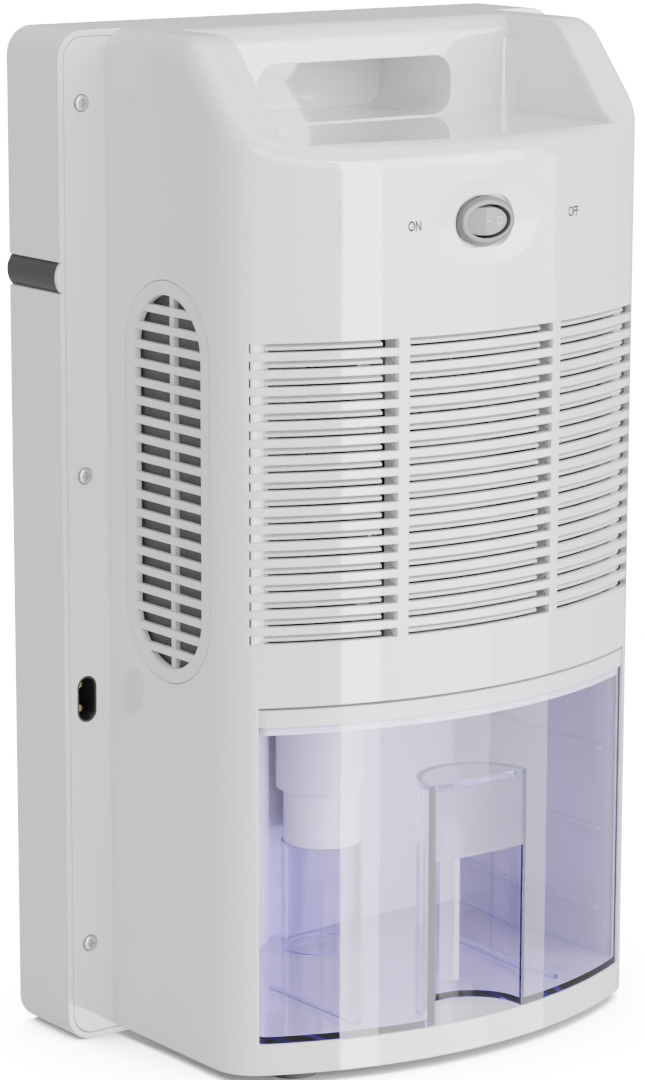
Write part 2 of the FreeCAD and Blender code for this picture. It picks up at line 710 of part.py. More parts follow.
    boss_back = front_y + 2.6 * wall
    switch_boss = new_sketch(body, "XZ_Plane", "switch_boss", boss_back)
    draw_rounded(switch_boss, -0.6 * dish_width, 0.6 * dish_width, switch_level - 0.6 * dish_height,
                 switch_level + 0.6 * dish_height, 6.0)
    pad(body, switch_boss, "switch_pad", 1.5 * wall, -1)
    dish = body.newObject("PartDesign::SubtractiveEllipsoid", "front_housing_dish")
    lead = as_size(3.0)
    deep = lead + dish_depth
    edge_back = front_radius - root(front_radius * front_radius - dish_width * dish_width / 4)
    wide_share = (lead + edge_back) / deep
    tall_share = lead / deep
    dish.setExpression("Radius1", deep.text)
    dish.setExpression("Radius2", (dish_width / 2 / root(1 - wide_share * wide_share)).text)
    dish.setExpression("Radius3", (dish_height / 2 / root(1 - tall_share * tall_share)).text)
    dish.Angle1 = -90
    dish.Angle2 = 90
    dish.Angle3 = 360
    dish.AttachmentSupport = [([part for part in body.Origin.OriginFeatures
                                if part.Role == "XZ_Plane"][0], "")]
    dish.MapMode = "FlatFace"
    dish.setExpression("AttachmentOffset.Base.y", switch_level.text)
    dish.setExpression("AttachmentOffset.Base.z", (lead - front_y).text)
    body.Tip = dish
    cuts.append(dish)
    seat = new_sketch(body, "XZ_Plane", "bezel_seat", front_y)
    seat_half = bezel_width / 2 + seam
    seat_rise = bezel_height / 2 + seam
    draw_rounded(seat, -seat_half, seat_half, switch_level - seat_rise, switch_level + seat_rise,
                 seat_rise - 0.5)
    pocket(body, seat, "bezel_seat_cut", bezel_back + bezel_thick, 1)
    switch_hole = new_sketch(body, "XZ_Plane", "switch_hole", front_y)
    hole_half = bezel_width / 2 - bezel_border + switch_shell + seam
    hole_rise = bezel_height / 2 - bezel_border + switch_shell + seam
    draw_rounded(switch_hole, -hole_half, hole_half, switch_level - hole_rise, switch_level + hole_rise,
                 hole_rise - 1)
    pocket(body, switch_hole, "switch_opening", 4 * wall, 1)

    window = new_sketch(body, "XZ_Plane", "window", front_y)
    draw_box(window, -window_width / 2, window_width / 2, lip, window_top)
    pocket(body, window, "tank_window", shell_depth / 2, 1)
    sides = new_sketch(body, "YZ_Plane", "sides")
    draw_stadium(sides, ledge_y - grille_middle, grille_level, grille_width, grille_height)
    pocket_both(body, sides, "grille_openings", shell_width + 2)
    screws = new_sketch(body, "XZ_Plane", "screws", ledge_y)
    heads = new_sketch(body, "XZ_Plane", "heads", ledge_y)
    for level in screw_levels:
        for x in (-screw_x, screw_x):
            draw_circle(screws, x, level, screw_shank / 2 + fit_gap)
            draw_circle(heads, x, level, screw_head / 2 + 2 * fit_gap)
    pocket(body, screws, "screw_holes", 2 * wall, 1)
    pocket(body, heads, "head_recesses", head_height, 1)
    socket = new_sketch(body, "XZ_Plane", "socket", ledge_y)
    draw_stadium(socket, inlet_inset - slab_side, inlet_level, inlet_width, inlet_height)
    pocket(body, socket, "inlet_opening", 2 * wall, 1)

    slots = new_sketch(body, "XZ_Plane", "slots", front_y)
    low = louvre_low - louvre_slot / 2
    high = louvre_low + louvre_slot / 2
    rib_in = louvre_rib_x - louvre_rib / 2
    rib_out = louvre_rib_x + louvre_rib / 2
    draw_box(slots, -louvre_end, -rib_out, low, high)
    draw_box(slots, -rib_in, rib_in, low, high)
    draw_box(slots, rib_out, louvre_end, low, high)
    slot_row = pocket(body, slots, "slot_row", shell_depth * 0.28, 1)
    row_of(body, slot_row, "louvre_slots", "Z_Axis", louvre_pitch * (louvre_rows - 1), louvre_rows)
    return body


# ---------------------------------------------------------------- tank bay

def make_tank_bay():
    """The liner of the tank bay: side walls with guide ribs, rear wall, rear floor and ceiling."""
    body = new_body("tank_bay")
    ceiling_low = window_top + seam
    bay_side = shell_side - 2 * wall - bay_gap
    ceiling = new_sketch(body, "XY_Plane", "ceiling", ceiling_low)
    draw_plan(ceiling, bay_side + wall, front_radius - wall - seam, shell_corner - wall, bay_back + wall)
    pad(body, ceiling, "ceiling_plate", wall, 1)
    walls = new_sketch(body, "XY_Plane", "walls", ceiling_low)
    wall_front = front_y + bay_setback
    draw_outline(walls, [
        (-bay_side - wall, wall_front), (-bay_side, wall_front), (-bay_side, bay_back),
        (bay_side, bay_back), (bay_side, wall_front), (bay_side + wall, wall_front),
        (bay_side + wall, bay_back + wall), (-bay_side - wall, bay_back + wall),
    ])
    pad(body, walls, "wall_sheet", ceiling_low - lip, -1)
    floor = new_sketch(body, "XY_Plane", "floor", lip)
    draw_box(floor, -bay_side - wall / 2, bay_side + wall / 2, flange_back + seam, bay_back + wall / 2)
    pad(body, floor, "rear_floor", wall, -1)
    ribs = new_sketch(body, "XZ_Plane", "ribs", wall_front + wall)
    for level in (0.0, 1.0, 2.0):
        low = lip + guide_low + guide_pitch * level
        draw_box(ribs, -bay_side - wall / 2, -tank_side - run_gap, low, low + guide_thick)
        draw_box(ribs, tank_side + run_gap, bay_side + wall / 2, low, low + guide_thick)
    pad(body, ribs, "guide_ribs", bay_back - wall_front - 2 * wall, 1)
    spout = new_sketch(body, "XY_Plane", "spout", ceiling_low)
    draw_circle(spout, drain_x, drain_y, drain_radius + 1)
    pocket(body, spout, "spout_hole", 2 * wall, 1)
    return body


# ---------------------------------------------------------------- water tank

def make_water_tank():
    """The clear tank: walls that follow the curved front, the finger notch moulded into the front
    wall, the tube that the float stands on and two runner ribs on the floor."""
    body = new_body("water_tank")
    outside = new_sketch(body, "XY_Plane", "outside", tank_floor)
    draw_plan(outside, tank_side, tank_radius, tank_corner, tank_back)
    pad(body, outside, "block", tank_rim - tank_floor, 1)
    inside = new_sketch(body, "XY_Plane", "inside", tank_rim)
    draw_plan(inside, tank_side - tank_wall, tank_radius - tank_wall, tank_corner - tank_wall / 2,
              tank_back - tank_wall)
    pocket(body, inside, "hollow", tank_rim - tank_floor - tank_wall, -1)
    notch_y = front_y + 1.4 * wall
    around = new_sketch(body, "XY_Plane", "around", notch_roof + tank_wall)
    outer = notch_radius + tank_wall
    draw_outline(around, [
        (-outer, notch_y), (outer, notch_y, 0.0, notch_y, outer, 1),
    ])
    pad(body, around, "notch_wall", notch_roof + tank_wall - tank_floor, -1)
    notch = new_sketch(body, "XY_Plane", "notch", tank_floor)
    draw_outline(notch, [
        (-notch_radius, notch_y), (-notch_radius, front_y - 1), (notch_radius, front_y - 1),
        (notch_radius, notch_y, 0.0, notch_y, notch_radius, 1),
    ])
    pocket(body, notch, "finger_notch", notch_roof - tank_floor, 1)
    stand = new_sketch(body, "XY_Plane", "stand", tank_floor + tank_wall / 2)
    draw_circle(stand, float_x, float_y, stand_radius)
    draw_circle(stand, float_x, float_y, stand_radius - tank_wall)
    pad(body, stand, "float_stand", stand_top - tank_floor - tank_wall / 2, 1)
    runners = new_sketch(body, "XY_Plane", "runners", tank_floor + tank_wall / 2)
    for side in (-1, 1):
        middle = side * runner_x
        draw_box(runners, middle - runner_width / 2, middle + runner_width / 2,
                 front_y + runner_start, ledge_y - runner_end)
    pad(body, runners, "runner_ribs", tank_wall / 2 + runner_width, 1)
    return body


def make_tank_lid():
    """The white lid band and top of the tank, with the float's collar and the drain hole."""
    body = new_body("tank_lid")
    top = new_sketch(body, "XY_Plane", "top", lid_top)
    draw_plan(top, tank_side, tank_radius, tank_corner, tank_back)
    pad(body, top, "band", lid_height, -1)
    under = new_sketch(body, "XY_Plane", "under", tank_rim)
    draw_plan(under, tank_side - 2 * tank_wall, tank_radius - 2 * tank_wall, tank_corner / 2,
              tank_back - 2 * tank_wall)
    pocket(body, under, "hollow", lid_height - lid_plate, 1)
    skirt = new_sketch(body, "XY_Plane", "skirt", tank_rim + 0.5)
    skirt_out = tank_wall + fit_gap
    skirt_in = 2 * tank_wall
    draw_plan(skirt, tank_side - skirt_out, tank_radius - skirt_out, tank_corner - tank_wall / 2,
              tank_back - skirt_out)
    draw_plan(skirt, tank_side - skirt_in, tank_radius - skirt_in, tank_corner / 2, tank_back - skirt_in)
    pad(body, skirt, "inner_skirt", skirt_drop + 0.5, -1)
    collar = new_sketch(body, "XY_Plane", "collar", lid_top - lid_plate / 2)
    draw_circle(collar, float_x, float_y, collar_radius)
    draw_circle(collar, float_x, float_y, float_radius + 4 * float_gap)
    pad(body, collar, "float_collar", lid_top - lid_plate / 2 - collar_foot, -1)
    drain = new_sketch(body, "XY_Plane", "drain", lid_top)
    draw_circle(drain, drain_x, drain_y, drain_radius + 3)
    pocket(body, drain, "drain_hole", 2 * lid_plate, -1)
    return body


def make_tank_grip_plate():
    """A frosted plate that closes the upper part of the finger notch, to pull the tank out by."""
    plate_foot = notch_roof - plate_height
    block = box_part("grip_block", (-notch_radius, front_y, plate_foot),
                     (notch_radius, front_y + 3 * wall, notch_roof))
    rounds = rod_part("grip_round", (0.0, arc_y, plate_foot), tank_radius, plate_height, "z")
    hollow = rod_part("grip_hollow", (0.0, arc_y, plate_foot), tank_radius - tank_wall, plate_height, "z")
    shell = minus("grip_shell", rounds, hollow, keep=False)
    plate = doc.addObject("Part::Common", "tank_grip_plate")
    plate.Base = block
    plate.Tool = shell
    return keep_node(plate, "tank_grip_plate")


def make_tank_float():
    """A hollow white float that rests on its stand and rises in the collar as the tank fills."""
    body = doc.addObject("PartDesign::Body", "tank_float")
    keep_node(body, "tank_float")
    outline = new_sketch(body, "XY_Plane", "outline")
    draw_circle(outline, 0.0, 0.0, float_radius)
    pad(body, outline, "block", float_height, 1)
    seat = new_sketch(body, "XY_Plane", "seat", float_height)
    draw_circle(seat, 0.0, 0.0, magnet_radius + fit_gap)
    pocket(body, seat, "magnet_seat", magnet_height, -1)
    under = new_sketch(body, "XY_Plane", "under")
    draw_circle(under, 0.0, 0.0, float_radius - 2 * tank_wall)
    pocket(body, under, "hollow", float_height / 2, 1)
    set_place(body, (float_x, float_y, stand_top))
    magnet = rod_part("float_magnet", (float_x, float_y, stand_top + float_height - magnet_height),
                      magnet_radius, magnet_height, "z")
    keep_node(magnet, "float_magnet")


# ---------------------------------------------------------------- louvres and grilles

def make_front_louvres():
    """The slanted blades behind the front slots, joined by four upright ribs."""
    body = new_body("front_louvres")
    blade = new_sketch(body, "YZ_Plane", "blade")
    outer = front_y + wall + float_gap
    low = louvre_low - louvre_slot / 2 + 0.5 - louvre_pitch
    draw_outline(blade, [
        (outer, low), (outer + blade_reach, low + blade_rise),
        (outer + blade_reach, low + blade_rise + blade_thick), (outer, low + blade_thick),
    ])
    axis = blade.addGeometry(Part.LineSegment(point(arc_y, 0), point(arc_y, 10)), True)
    blade.addConstraint(Sketcher.Constraint("Vertical", axis))
    constrain(blade, fix_point(axis, 1, arc_y, 0.0))
    constrain(blade, [(Sketcher.Constraint("DistanceY", axis, 1, axis, 2, 10.0), None)])
    sweep = body.newObject("PartDesign::Revolution", "front_louvres_sweep")
    sweep.Profile = blade
    sweep.ReferenceAxis = (blade, ["Axis0"])
    reach = (louvre_end - wall) / front_radius
    sweep.setExpression("Angle", "2 * asin(" + reach.text + ")")
    sweep.Midplane = True
    body.Tip = sweep
    row_of(body, sweep, "blades", "Z_Axis", louvre_pitch * (louvre_rows + 1), louvre_rows + 2)
    visible_low = louvre_low - louvre_pitch / 2
    gaps = new_sketch(body, "XZ_Plane", "gaps", front_y)
    for inner in (-louvre_rib_x - louvre_rib / 2, louvre_rib_x - louvre_rib / 2):
        draw_box(gaps, inner - blade_gap_width, inner,
                 visible_low, visible_low + louvre_pitch * louvre_rows)
    pocket(body, gaps, "blade_gaps", 6 * wall, 1)
    rib_low = louvre_low - louvre_pitch - louvre_slot
    rib_high = louvre_low + louvre_pitch * louvre_rows + louvre_slot
    ribs = new_sketch(body, "XY_Plane", "ribs", rib_low)
    for side in (-1, 1):
        for x in (louvre_rib_x, louvre_end - wall - louvre_rib):
            reach_x = x + louvre_rib / 2
            surface = arc_y - root((front_radius - wall - float_gap) * (front_radius - wall - float_gap)
                                   - reach_x * reach_x)
            draw_box(ribs, side * x - louvre_rib * 0.4, side * x + louvre_rib * 0.4,
                     surface, surface + blade_reach + 1)
    pad(body, ribs, "rib_bars", rib_high - rib_low, 1)
    return body


def make_side_grille(name, side):
    """An oval grille set flush in the side of the shell: frame, slats and a stiffening rib behind."""
    body = new_body(name)
    middle_y = ledge_y - grille_middle
    outer = side * shell_side
    inner_width = grille_width - 2 * grille_border
    inner_tall = grille_height - 2 * grille_border
    low = grille_level - grille_pitch * (grille_slats - 1) / 2
    slat = new_sketch(body, "YZ_Plane", "slat", outer - side * 0.6)
    draw_box(slat, middle_y - inner_width / 2 - 1, middle_y + inner_width / 2 + 1,
             low - grille_slat / 2, low + grille_slat / 2)
    first = pad(body, slat, "first_slat", wall - 0.6, -side)
    row_of(body, first, "slats", "Z_Axis", grille_pitch * (grille_slats - 1), grille_slats)
    rib = new_sketch(body, "YZ_Plane", "rib", outer - side * (wall - 0.3))
    draw_box(rib, middle_y - 1.2, middle_y + 1.2,
             grille_level - inner_tall / 2 - 1, grille_level + inner_tall / 2 + 1)
    pad(body, rib, "back_rib", grille_depth - wall + 0.3, -side)
    trim = new_sketch(body, "YZ_Plane", "trim", outer)
    draw_stadium(trim, middle_y, grille_level, inner_width + 1, inner_tall + 1)
    draw_box(trim, middle_y - grille_width, middle_y + grille_width,
             grille_level - grille_height, grille_level + grille_height)
    pocket(body, trim, "trim_cut", 4 * wall, -side)
    ring = new_sketch(body, "YZ_Plane", "ring", outer)
    draw_stadium(ring, middle_y, grille_level, grille_width - 3 * seam, grille_height - 3 * seam)
    draw_stadium(ring, middle_y, grille_level, inner_width, inner_tall)
    pad(body, ring, "frame", grille_edge, -side)
    return body


def make_side_screen(name, side):
    """A dark dust screen that rests on the side grille's back rib."""
    body = new_body(name)
    outline = new_sketch(body, "YZ_Plane", "outline", side * (shell_side - grille_depth))
    draw_stadium(outline, ledge_y - grille_middle, grille_level,
                 grille_width - grille_border, grille_height - grille_border)
    pad(body, outline, "sheet", screen_thick, -side)
    return body


# ---------------------------------------------------------------- fasteners and mains inlet

def make_housing_screws():
    """Six M3 pan head screws that hold the front moulding to the rear tray."""
    solids = []
    number = 0
    for level in screw_levels:
        for x in (-screw_x, screw_x):
            number += 1
            head = rod_part("screw_head_%d" % number, (x, ledge_y, level), screw_head / 2, head_height)
            shank = rod_part("screw_shank_%d" % number, (x, ledge_y + head_height, level),
                             screw_shank / 2, screw_length)
            drive = rod_part("screw_drive_%d" % number, (x, ledge_y, level), screw_head / 6, head_height / 2)
            whole = fused("screw_%d" % number, [head, shank], keep=False)
            solids.append(minus("housing_screw_%d" % number, whole, drive, keep=False))
    group("housing_screws", solids)


def make_inlet():
    """The two-pole mains inlet behind the flange, and its two contact pins."""
    middle_x = inlet_inset - slab_side
    body = new_body("inlet_socket")
    back = new_sketch(body, "XZ_Plane", "back", flange_back)
    draw_rounded(back, middle_x - inlet_width / 2 - wall, middle_x + inlet_width / 2 + wall,
                 inlet_level - inlet_height / 2 - wall, inlet_level + inlet_height / 2 + wall, wall)
    pad(body, back, "block", inlet_body, 1)
    collar = new_sketch(body, "XZ_Plane", "collar", ledge_y + seam)
    draw_stadium(collar, middle_x, inlet_level, inlet_width - seam, inlet_height - seam)
    pad(body, collar, "collar_ring", wall - seam + 0.5, 1)
    socket = new_sketch(body, "XZ_Plane", "socket", ledge_y)
    draw_stadium(socket, middle_x, inlet_level, inlet_width - 1.6, inlet_height - 1.6)
    pocket(body, socket, "socket_hollow", inlet_depth, 1)
    pins = new_sketch(body, "XZ_Plane", "pins", ledge_y)
    for side in (-1, 1):
        draw_circle(pins, middle_x, inlet_level + side * pin_pitch / 2, pin_radius + fit_gap / 2)
    pocket(body, pins, "pin_holes", wall + inlet_body + 2, 1)
    solids = []
    for side in (-1, 1):
        name = "pin_low" if side < 0 else "pin_high"
        place = (middle_x, ledge_y + 2 * wall, inlet_level + side * pin_pitch / 2)
        solids.append(rod_part(name, place, pin_radius, inlet_body))
    group("inlet_pins", solids)


# ---------------------------------------------------------------- switch

def oval_line(name, place, width, tall):
    """An upright ellipse that faces the front."""
    shape = doc.addObject("Part::Ellipse", name)
    shape.setExpression("MajorRadius", (as_size(width) / 2).text)
    shape.setExpression("MinorRadius", (as_size(tall) / 2).text)
    shape.Placement = FreeCAD.Placement(FreeCAD.Vector(), FreeCAD.Rotation(FreeCAD.Vector(1, 0, 0), 90))
    set_place(shape, place)
    return shape


def oval(name, place, width, tall, length):
    """An oval prism that starts at a place and runs along +Y."""
    prism = doc.addObject("Part::Extrusion", name)
    prism.Base = oval_line(name + "_line", place, width, tall)
    prism.Dir = (0, 1, 0)
    prism.DirMode = "Custom"
    prism.setExpression("LengthFwd", as_size(length).text)
    prism.Solid = True
    return prism


def make_switch():
    """The oval bezel with its body, and the rocker that tilts about an upright pin."""
    face_y = front_y + bezel_back
    opening_width = bezel_width - 2 * bezel_border
    opening_tall = bezel_height - 2 * bezel_border
    flange = oval("bezel_flange", (0.0, face_y, switch_level), bezel_width, bezel_height, bezel_thick)
    rings = []
    steps = 6
    for number in range(steps + 1):
        bend = math.pi / 2 * number / steps
        inset = (bezel_border - bezel_brow) * (1 - math.cos(bend))
        place = (0.0, face_y - bezel_back * math.sin(bend), switch_level)
        rings.append(oval_line("bezel_ring_%d" % number, place,
                               bezel_width - 2 * inset, bezel_height - 2 * inset))
    dome = doc.addObject("Part::Loft", "bezel_dome")
    dome.Sections = rings
    dome.Solid = True
    dome.Ruled = True
    barrel = oval("bezel_barrel", (0.0, face_y, switch_level), opening_width + 2 * switch_shell,
                  opening_tall + 2 * switch_shell, switch_depth)
    outside = fused("bezel_outside", [flange, dome, barrel], keep=False)
    hole = oval("bezel_hole", (0.0, front_y - 1, switch_level), opening_width, opening_tall,
                switch_depth / 2 + bezel_back + 1)
    minus("switch_bezel", outside, hole)

    block = doc.addObject("PartDesign::Body", "rocker_block")
    plan = new_sketch(block, "XY_Plane", "plan", -opening_tall / 2)
    barrel_radius = opening_width / 2 - rocker_gap
    face = pivot_depth - rocker_drop
    half_face = root(barrel_radius * barrel_radius - face * face)
    turn = "(" + rocker_tilt.text + " * 1 deg)"
    sine = Size("sin" + turn, math.sin(math.radians(rocker_tilt.value)))
    cosine = Size("cos" + turn, math.cos(math.radians(rocker_tilt.value)))
    face_x = half_face * cosine + face * sine
    end_y = half_face * sine - face * cosine
    back_x = root(barrel_radius * barrel_radius - rocker_depth * rocker_depth)
    draw_outline(plan, [
        (-face_x, end_y),
        (0.0, -face / cosine),
        (face_x, end_y, 0.0, 0.0, barrel_radius, 1),
        (back_x, rocker_depth),
        (-back_x, rocker_depth, 0.0, 0.0, barrel_radius, 1),
    ])
    pad(block, plan, "block", opening_tall, 1)
    skin = doc.addObject("Part::Ellipsoid", "rocker_skin")
    skin.setExpression("Radius1", (opening_tall / 2 - rocker_gap).text)
    skin.setExpression("Radius2", barrel_radius.text)
    skin.setExpression("Radius3", barrel_radius.text)
    rocker = doc.addObject("Part::Common", "switch_rocker")
    rocker.Base = block
    rocker.Tool = skin
    rocker.Placement = FreeCAD.Placement(FreeCAD.Vector(), FreeCAD.Rotation(FreeCAD.Vector(0, 0, -1), 1))
    rocker.setExpression("Placement.Rotation.Angle", rocker_tilt.text)
    set_place(rocker, (0.0, front_y + pivot_depth, switch_level))
    keep_node(rocker, "switch_rocker")


# ---------------------------------------------------------------- fan

def make_fan():
    """A square axial fan: frame, impeller on its hub and four screws."""
    frame = new_body("fan_frame")
    square = new_sketch(frame, "XZ_Plane", "square")
    draw_rounded(square, -fan_size / 2, fan_size / 2, -fan_size / 2, fan_size / 2, 4.0)
    pad(frame, square, "block", fan_depth, 1)
    bore = new_sketch(frame, "XZ_Plane", "bore")
    draw_circle(bore, 0.0, 0.0, fan_bore)
    for x in (-fan_pitch / 2, fan_pitch / 2):
        for z in (-fan_pitch / 2, fan_pitch / 2):
            draw_circle(bore, x, z, screw_shank / 2 + fit_gap)
    pocket(frame, bore, "air_way", fan_depth, 1)
    arms = new_sketch(frame, "XZ_Plane", "arms", fan_depth)
    draw_box(arms, -fan_bore - 1, fan_bore + 1, -2.0, 2.0)
    pad(frame, arms, "level_arm", 2.5, -1)
    upright = new_sketch(frame, "XZ_Plane", "upright", fan_depth)
    draw_box(upright, -2.0, 2.0, -fan_bore - 1, fan_bore + 1)
    pad(frame, upright, "upright_arm", 2.5, -1)
    stator = new_sketch(frame, "XZ_Plane", "stator", fan_depth)
    draw_circle(stator, 0.0, 0.0, hub_radius)
    pad(frame, stator, "motor_disc", 5.0, -1)
    shaft = new_sketch(frame, "XZ_Plane", "shaft", fan_depth)
    draw_circle(shaft, 0.0, 0.0, 2.0)
    pad(frame, shaft, "shaft_pin", fan_depth - 4, -1)
    set_place(frame, (0.0, fan_y, fan_level))

    impeller = new_body("fan_impeller")
    hub = new_sketch(impeller, "XZ_Plane", "hub")
    draw_circle(hub, 0.0, 0.0, hub_radius)
    hub_depth = fan_depth - 7
    pad(impeller, hub, "hub_cup", hub_depth, 1)
    well = new_sketch(impeller, "XZ_Plane", "well", 1.5)
    draw_circle(well, 0.0, 0.0, 2.0 + fit_gap / 2)
    pocket(impeller, well, "shaft_bore", hub_depth, 1)
    blade = new_sketch(impeller, "XY_Plane", "blade", hub_radius - 1.5)
    wide = hub_radius * 0.42
    draw_outline(blade, [
        (-wide - 0.9, 1.0), (-wide + 0.9, 1.0), (wide + 0.9, hub_depth - 1), (wide - 0.9, hub_depth - 1),
    ])
    first = pad(impeller, blade, "first_blade", fan_bore - blade_gap - 2 - hub_radius + 1.5, 1)
    pattern = impeller.newObject("PartDesign::PolarPattern", "fan_impeller_blades")
    pattern.Originals = [first]
    pattern.Axis = (hub, ["N_Axis"])
    pattern.Angle = 360.0
    pattern.setExpression("Occurrences", blade_count.text)
    impeller.Tip = pattern
    set_place(impeller, (0.0, fan_y + 1, fan_level))

    solids = []
    for number, (x, z) in enumerate([(-1, -1), (1, -1), (-1, 1), (1, 1)]):
        place = (x * fan_pitch / 2, fan_y, fan_level + z * fan_pitch / 2)
        head = rod_part("fan_screw_head_%d" % number, (place[0], place[1] - head_height, place[2]),
                        screw_head / 2, head_height)
        shank = rod_part("fan_screw_shank_%d" % number, place, screw_shank / 2, fan_depth)
        solids.append(fused("fan_screw_%d" % number, [head, shank], keep=False))
    group("fan_screws", solids)


# ---------------------------------------------------------------- cold side

def make_heat_sink(name, tall, fins, toward, place):
    """An extruded aluminium sink: a base plate with upright fins on one side."""
    body = new_body(name)
    base = new_sketch(body, "XZ_Plane", "base")
    draw_box(base, -sink_width / 2, sink_width / 2, -tall / 2, tall / 2)
    pad(body, base, "plate", sink_base, -toward)
    fin = new_sketch(body, "XZ_Plane", "fin")
    count = 2 * math.floor((sink_width / 2 / fin_pitch).value - 0.2) + 1
    start = -fin_pitch * (count - 1) / 2
    draw_box(fin, start - fin_thick / 2, start + fin_thick / 2, -tall / 2, tall / 2)
    first = pad(body, fin, "first_fin", fins, toward)
    row_of(body, first, "fins", "X_Axis", fin_pitch * (count - 1), count)
    holes = new_sketch(body, "XZ_Plane", "holes")
    for x in (-clamp_pitch / 2, clamp_pitch / 2):
        for z in (-clamp_rise, clamp_rise):
            draw_circle(holes, x, z, screw_shank / 2 + fit_gap)
    pocket(body, holes, "clamp_holes", 2 * sink_base, -toward)
    set_place(body, place)
    return body


def make_cold_side():
    """The thermoelectric stack, from the fan back to the rear intake, and the tray under it."""
    hot_y = fan_y + fan_depth + seam + hot_fins
    make_heat_sink("hot_heatsink", sink_width, hot_fins, -1, (0.0, hot_y, fan_level))
    module_y = hot_y + sink_base
    block_y = module_y + peltier_thick
    half = peltier_side / 2
    module = box_part("peltier_module", (-half, module_y, fan_level - half), (half, block_y, fan_level + half))
    keep_node(module, "peltier_module")
    cold_y = block_y + spacer_thick
    block = box_part("spacer_block", (-half, block_y, fan_level - half), (half, cold_y, fan_level + half))
    keep_node(block, "spacer_block")
    make_heat_sink("cold_heatsink", cold_height, cold_fins, 1, (0.0, cold_y + sink_base, fan_level))
    side = gasket_side / 2
    foam = box_part("foam_block", (-side, module_y, fan_level - side), (side, cold_y, fan_level + side))
    hole = box_part("foam_hole", (-half - seam, module_y, fan_level - half - seam),
                    (half + seam, cold_y, fan_level + half + seam))
    minus("foam_gasket", foam, hole)
    solids = []
    length = cold_y + sink_base - hot_y
    for number, (x, z) in enumerate([(-1, -1), (1, -1), (-1, 1), (1, 1)]):
        level = fan_level + z * clamp_rise
        head = rod_part("clamp_head_%d" % number, (x * clamp_pitch / 2, hot_y - head_height, level),
                        screw_head * 0.36, head_height)
        shank = rod_part("clamp_shank_%d" % number, (x * clamp_pitch / 2, hot_y, level),
                         screw_shank / 2, length)
        solids.append(fused("clamp_screw_%d" % number, [head, shank], keep=False))
    group("clamp_screws", solids)


def make_drip_tray():
    """The tray that catches the water below the cold sink and leads it down to the tank."""
    body = new_body("drip_tray")
    tray_low = fan_level - cold_height / 2 - tray_height - tray_drop
    tray_front = ledge_y - tray_front_gap
    tray_back = ledge_y + tray_back_gap
    half = tray_width / 2
    outline = new_sketch(body, "XY_Plane", "outline", tray_low)
    draw_rounded(outline, -half, half, tray_front, tray_back, 3.0)
    pad(body, outline, "block", tray_height, 1)
    inside = new_sketch(body, "XY_Plane", "inside", tray_low + tray_height)
    draw_rounded(inside, tray_wall - half, half - tray_wall, tray_front + tray_wall, tray_back - tray_wall, 2.0)
    pocket(body, inside, "hollow", tray_height - tray_wall, -1)
    pipe = new_sketch(body, "XY_Plane", "pipe", tray_low + tray_wall / 2)
    draw_circle(pipe, drain_x, drain_y, drain_radius)
    pad(body, pipe, "spout", tray_low + tray_wall / 2 - window_top - seam, -1)
    bore = new_sketch(body, "XY_Plane", "bore", tray_low + tray_wall)
    draw_circle(bore, drain_x, drain_y, drain_radius - 1.5)
    pocket(body, bore, "spout_bore", tray_low + tray_wall - window_top + 1, -1)
    return body


# ---------------------------------------------------------------- electronics and feet

def make_electronics():
    """The power board above the fan with its main components, and the tank sensor."""
    board_y = ledge_y - board_reach
    half = board_width / 2
    board = box_part("power_board", (-half, board_y - board_thick, board_low),
                     (half, board_y, board_low + board_height))
    keep_node(board, "power_board")
    face = board_y - board_thick
    transformer = box_part("power_transformer", (-half + 6, face - component_reach, board_low + 8),
                           (-half + 34, face, board_low + 32))
    keep_node(transformer, "power_transformer")
    cans = []
    for number in range(3):
        x = 15.0 * number - half + 46
        cans.append(rod_part("capacitor_%d" % number, (x, face - 0.9 * component_reach, board_low + 18),
                             5.0, 0.9 * component_reach))
    group("smoothing_capacitors", cans)
    sink = box_part("regulator_sink", (half - 18, face - 0.8 * component_reach, board_low + 6),
                    (half - 8, face, board_low + 40))
    keep_node(sink, "regulator_sink")
    sensor = box_part("tank_sensor", (float_x - 9, float_y - 6, window_top + seam + wall),
                      (float_x + 9, float_y + 6, window_top + seam + wall + sensor_height))
    keep_node(sensor, "tank_sensor")


def make_front_feet():
    """Two rubber feet under the front of the shell."""
    solids = []
    for side in (-1, 1):
        name = "foot_left" if side < 0 else "foot_right"
        rod = rod_part(name, (side * foot_x, front_y + foot_front, 0.0), foot_radius, lip - wall, "z")
        solids.append(rod)
    group("front_feet", solids)


make_rear_housing()
make_side_bumper("side_bumper_left", -1)
make_side_bumper("side_bumper_right", 1)
make_front_housing()
make_tank_bay()
make_water_tank()
make_tank_lid()
make_tank_grip_plate()
make_tank_float()
make_front_louvres()
make_side_grille("side_grille_left", -1)
make_side_grille("side_grille_right", 1)
make_side_screen("side_screen_left", -1)
make_side_screen("side_screen_right", 1)
make_housing_screws()
make_inlet()
make_switch()
make_fan()
make_cold_side()
make_drip_tray()
make_electronics()
make_front_feet()

doc.recompute()
for piece in doc.Objects:
    if "Invalid" in piece.State or "Error" in piece.State:
        raise RuntimeError(piece.Name + " failed: " + str(piece.State))
for feature in cuts:
    base = feature.BaseFeature.Shape.Volume
    if feature.Shape.Volume > base - 0.01:
        raise RuntimeError(feature.Name + " cuts nothing")
os.makedirs("parts", exist_ok=True)
for piece in nodes:
    if piece.Shape.isNull() or not piece.Shape.isValid():
        raise RuntimeError(piece.Label + " has no valid shape")
    piece.Shape.exportStep("parts/" + piece.Label + ".step")
    box = piece.Shape.BoundBox
    print(piece.Label, round(piece.Shape.Volume / 1000, 2), len(piece.Shape.Solids),
          [round(v, 1) for v in (box.XMin, box.XMax, box.YMin, box.YMax, box.ZMin, box.ZMax)])
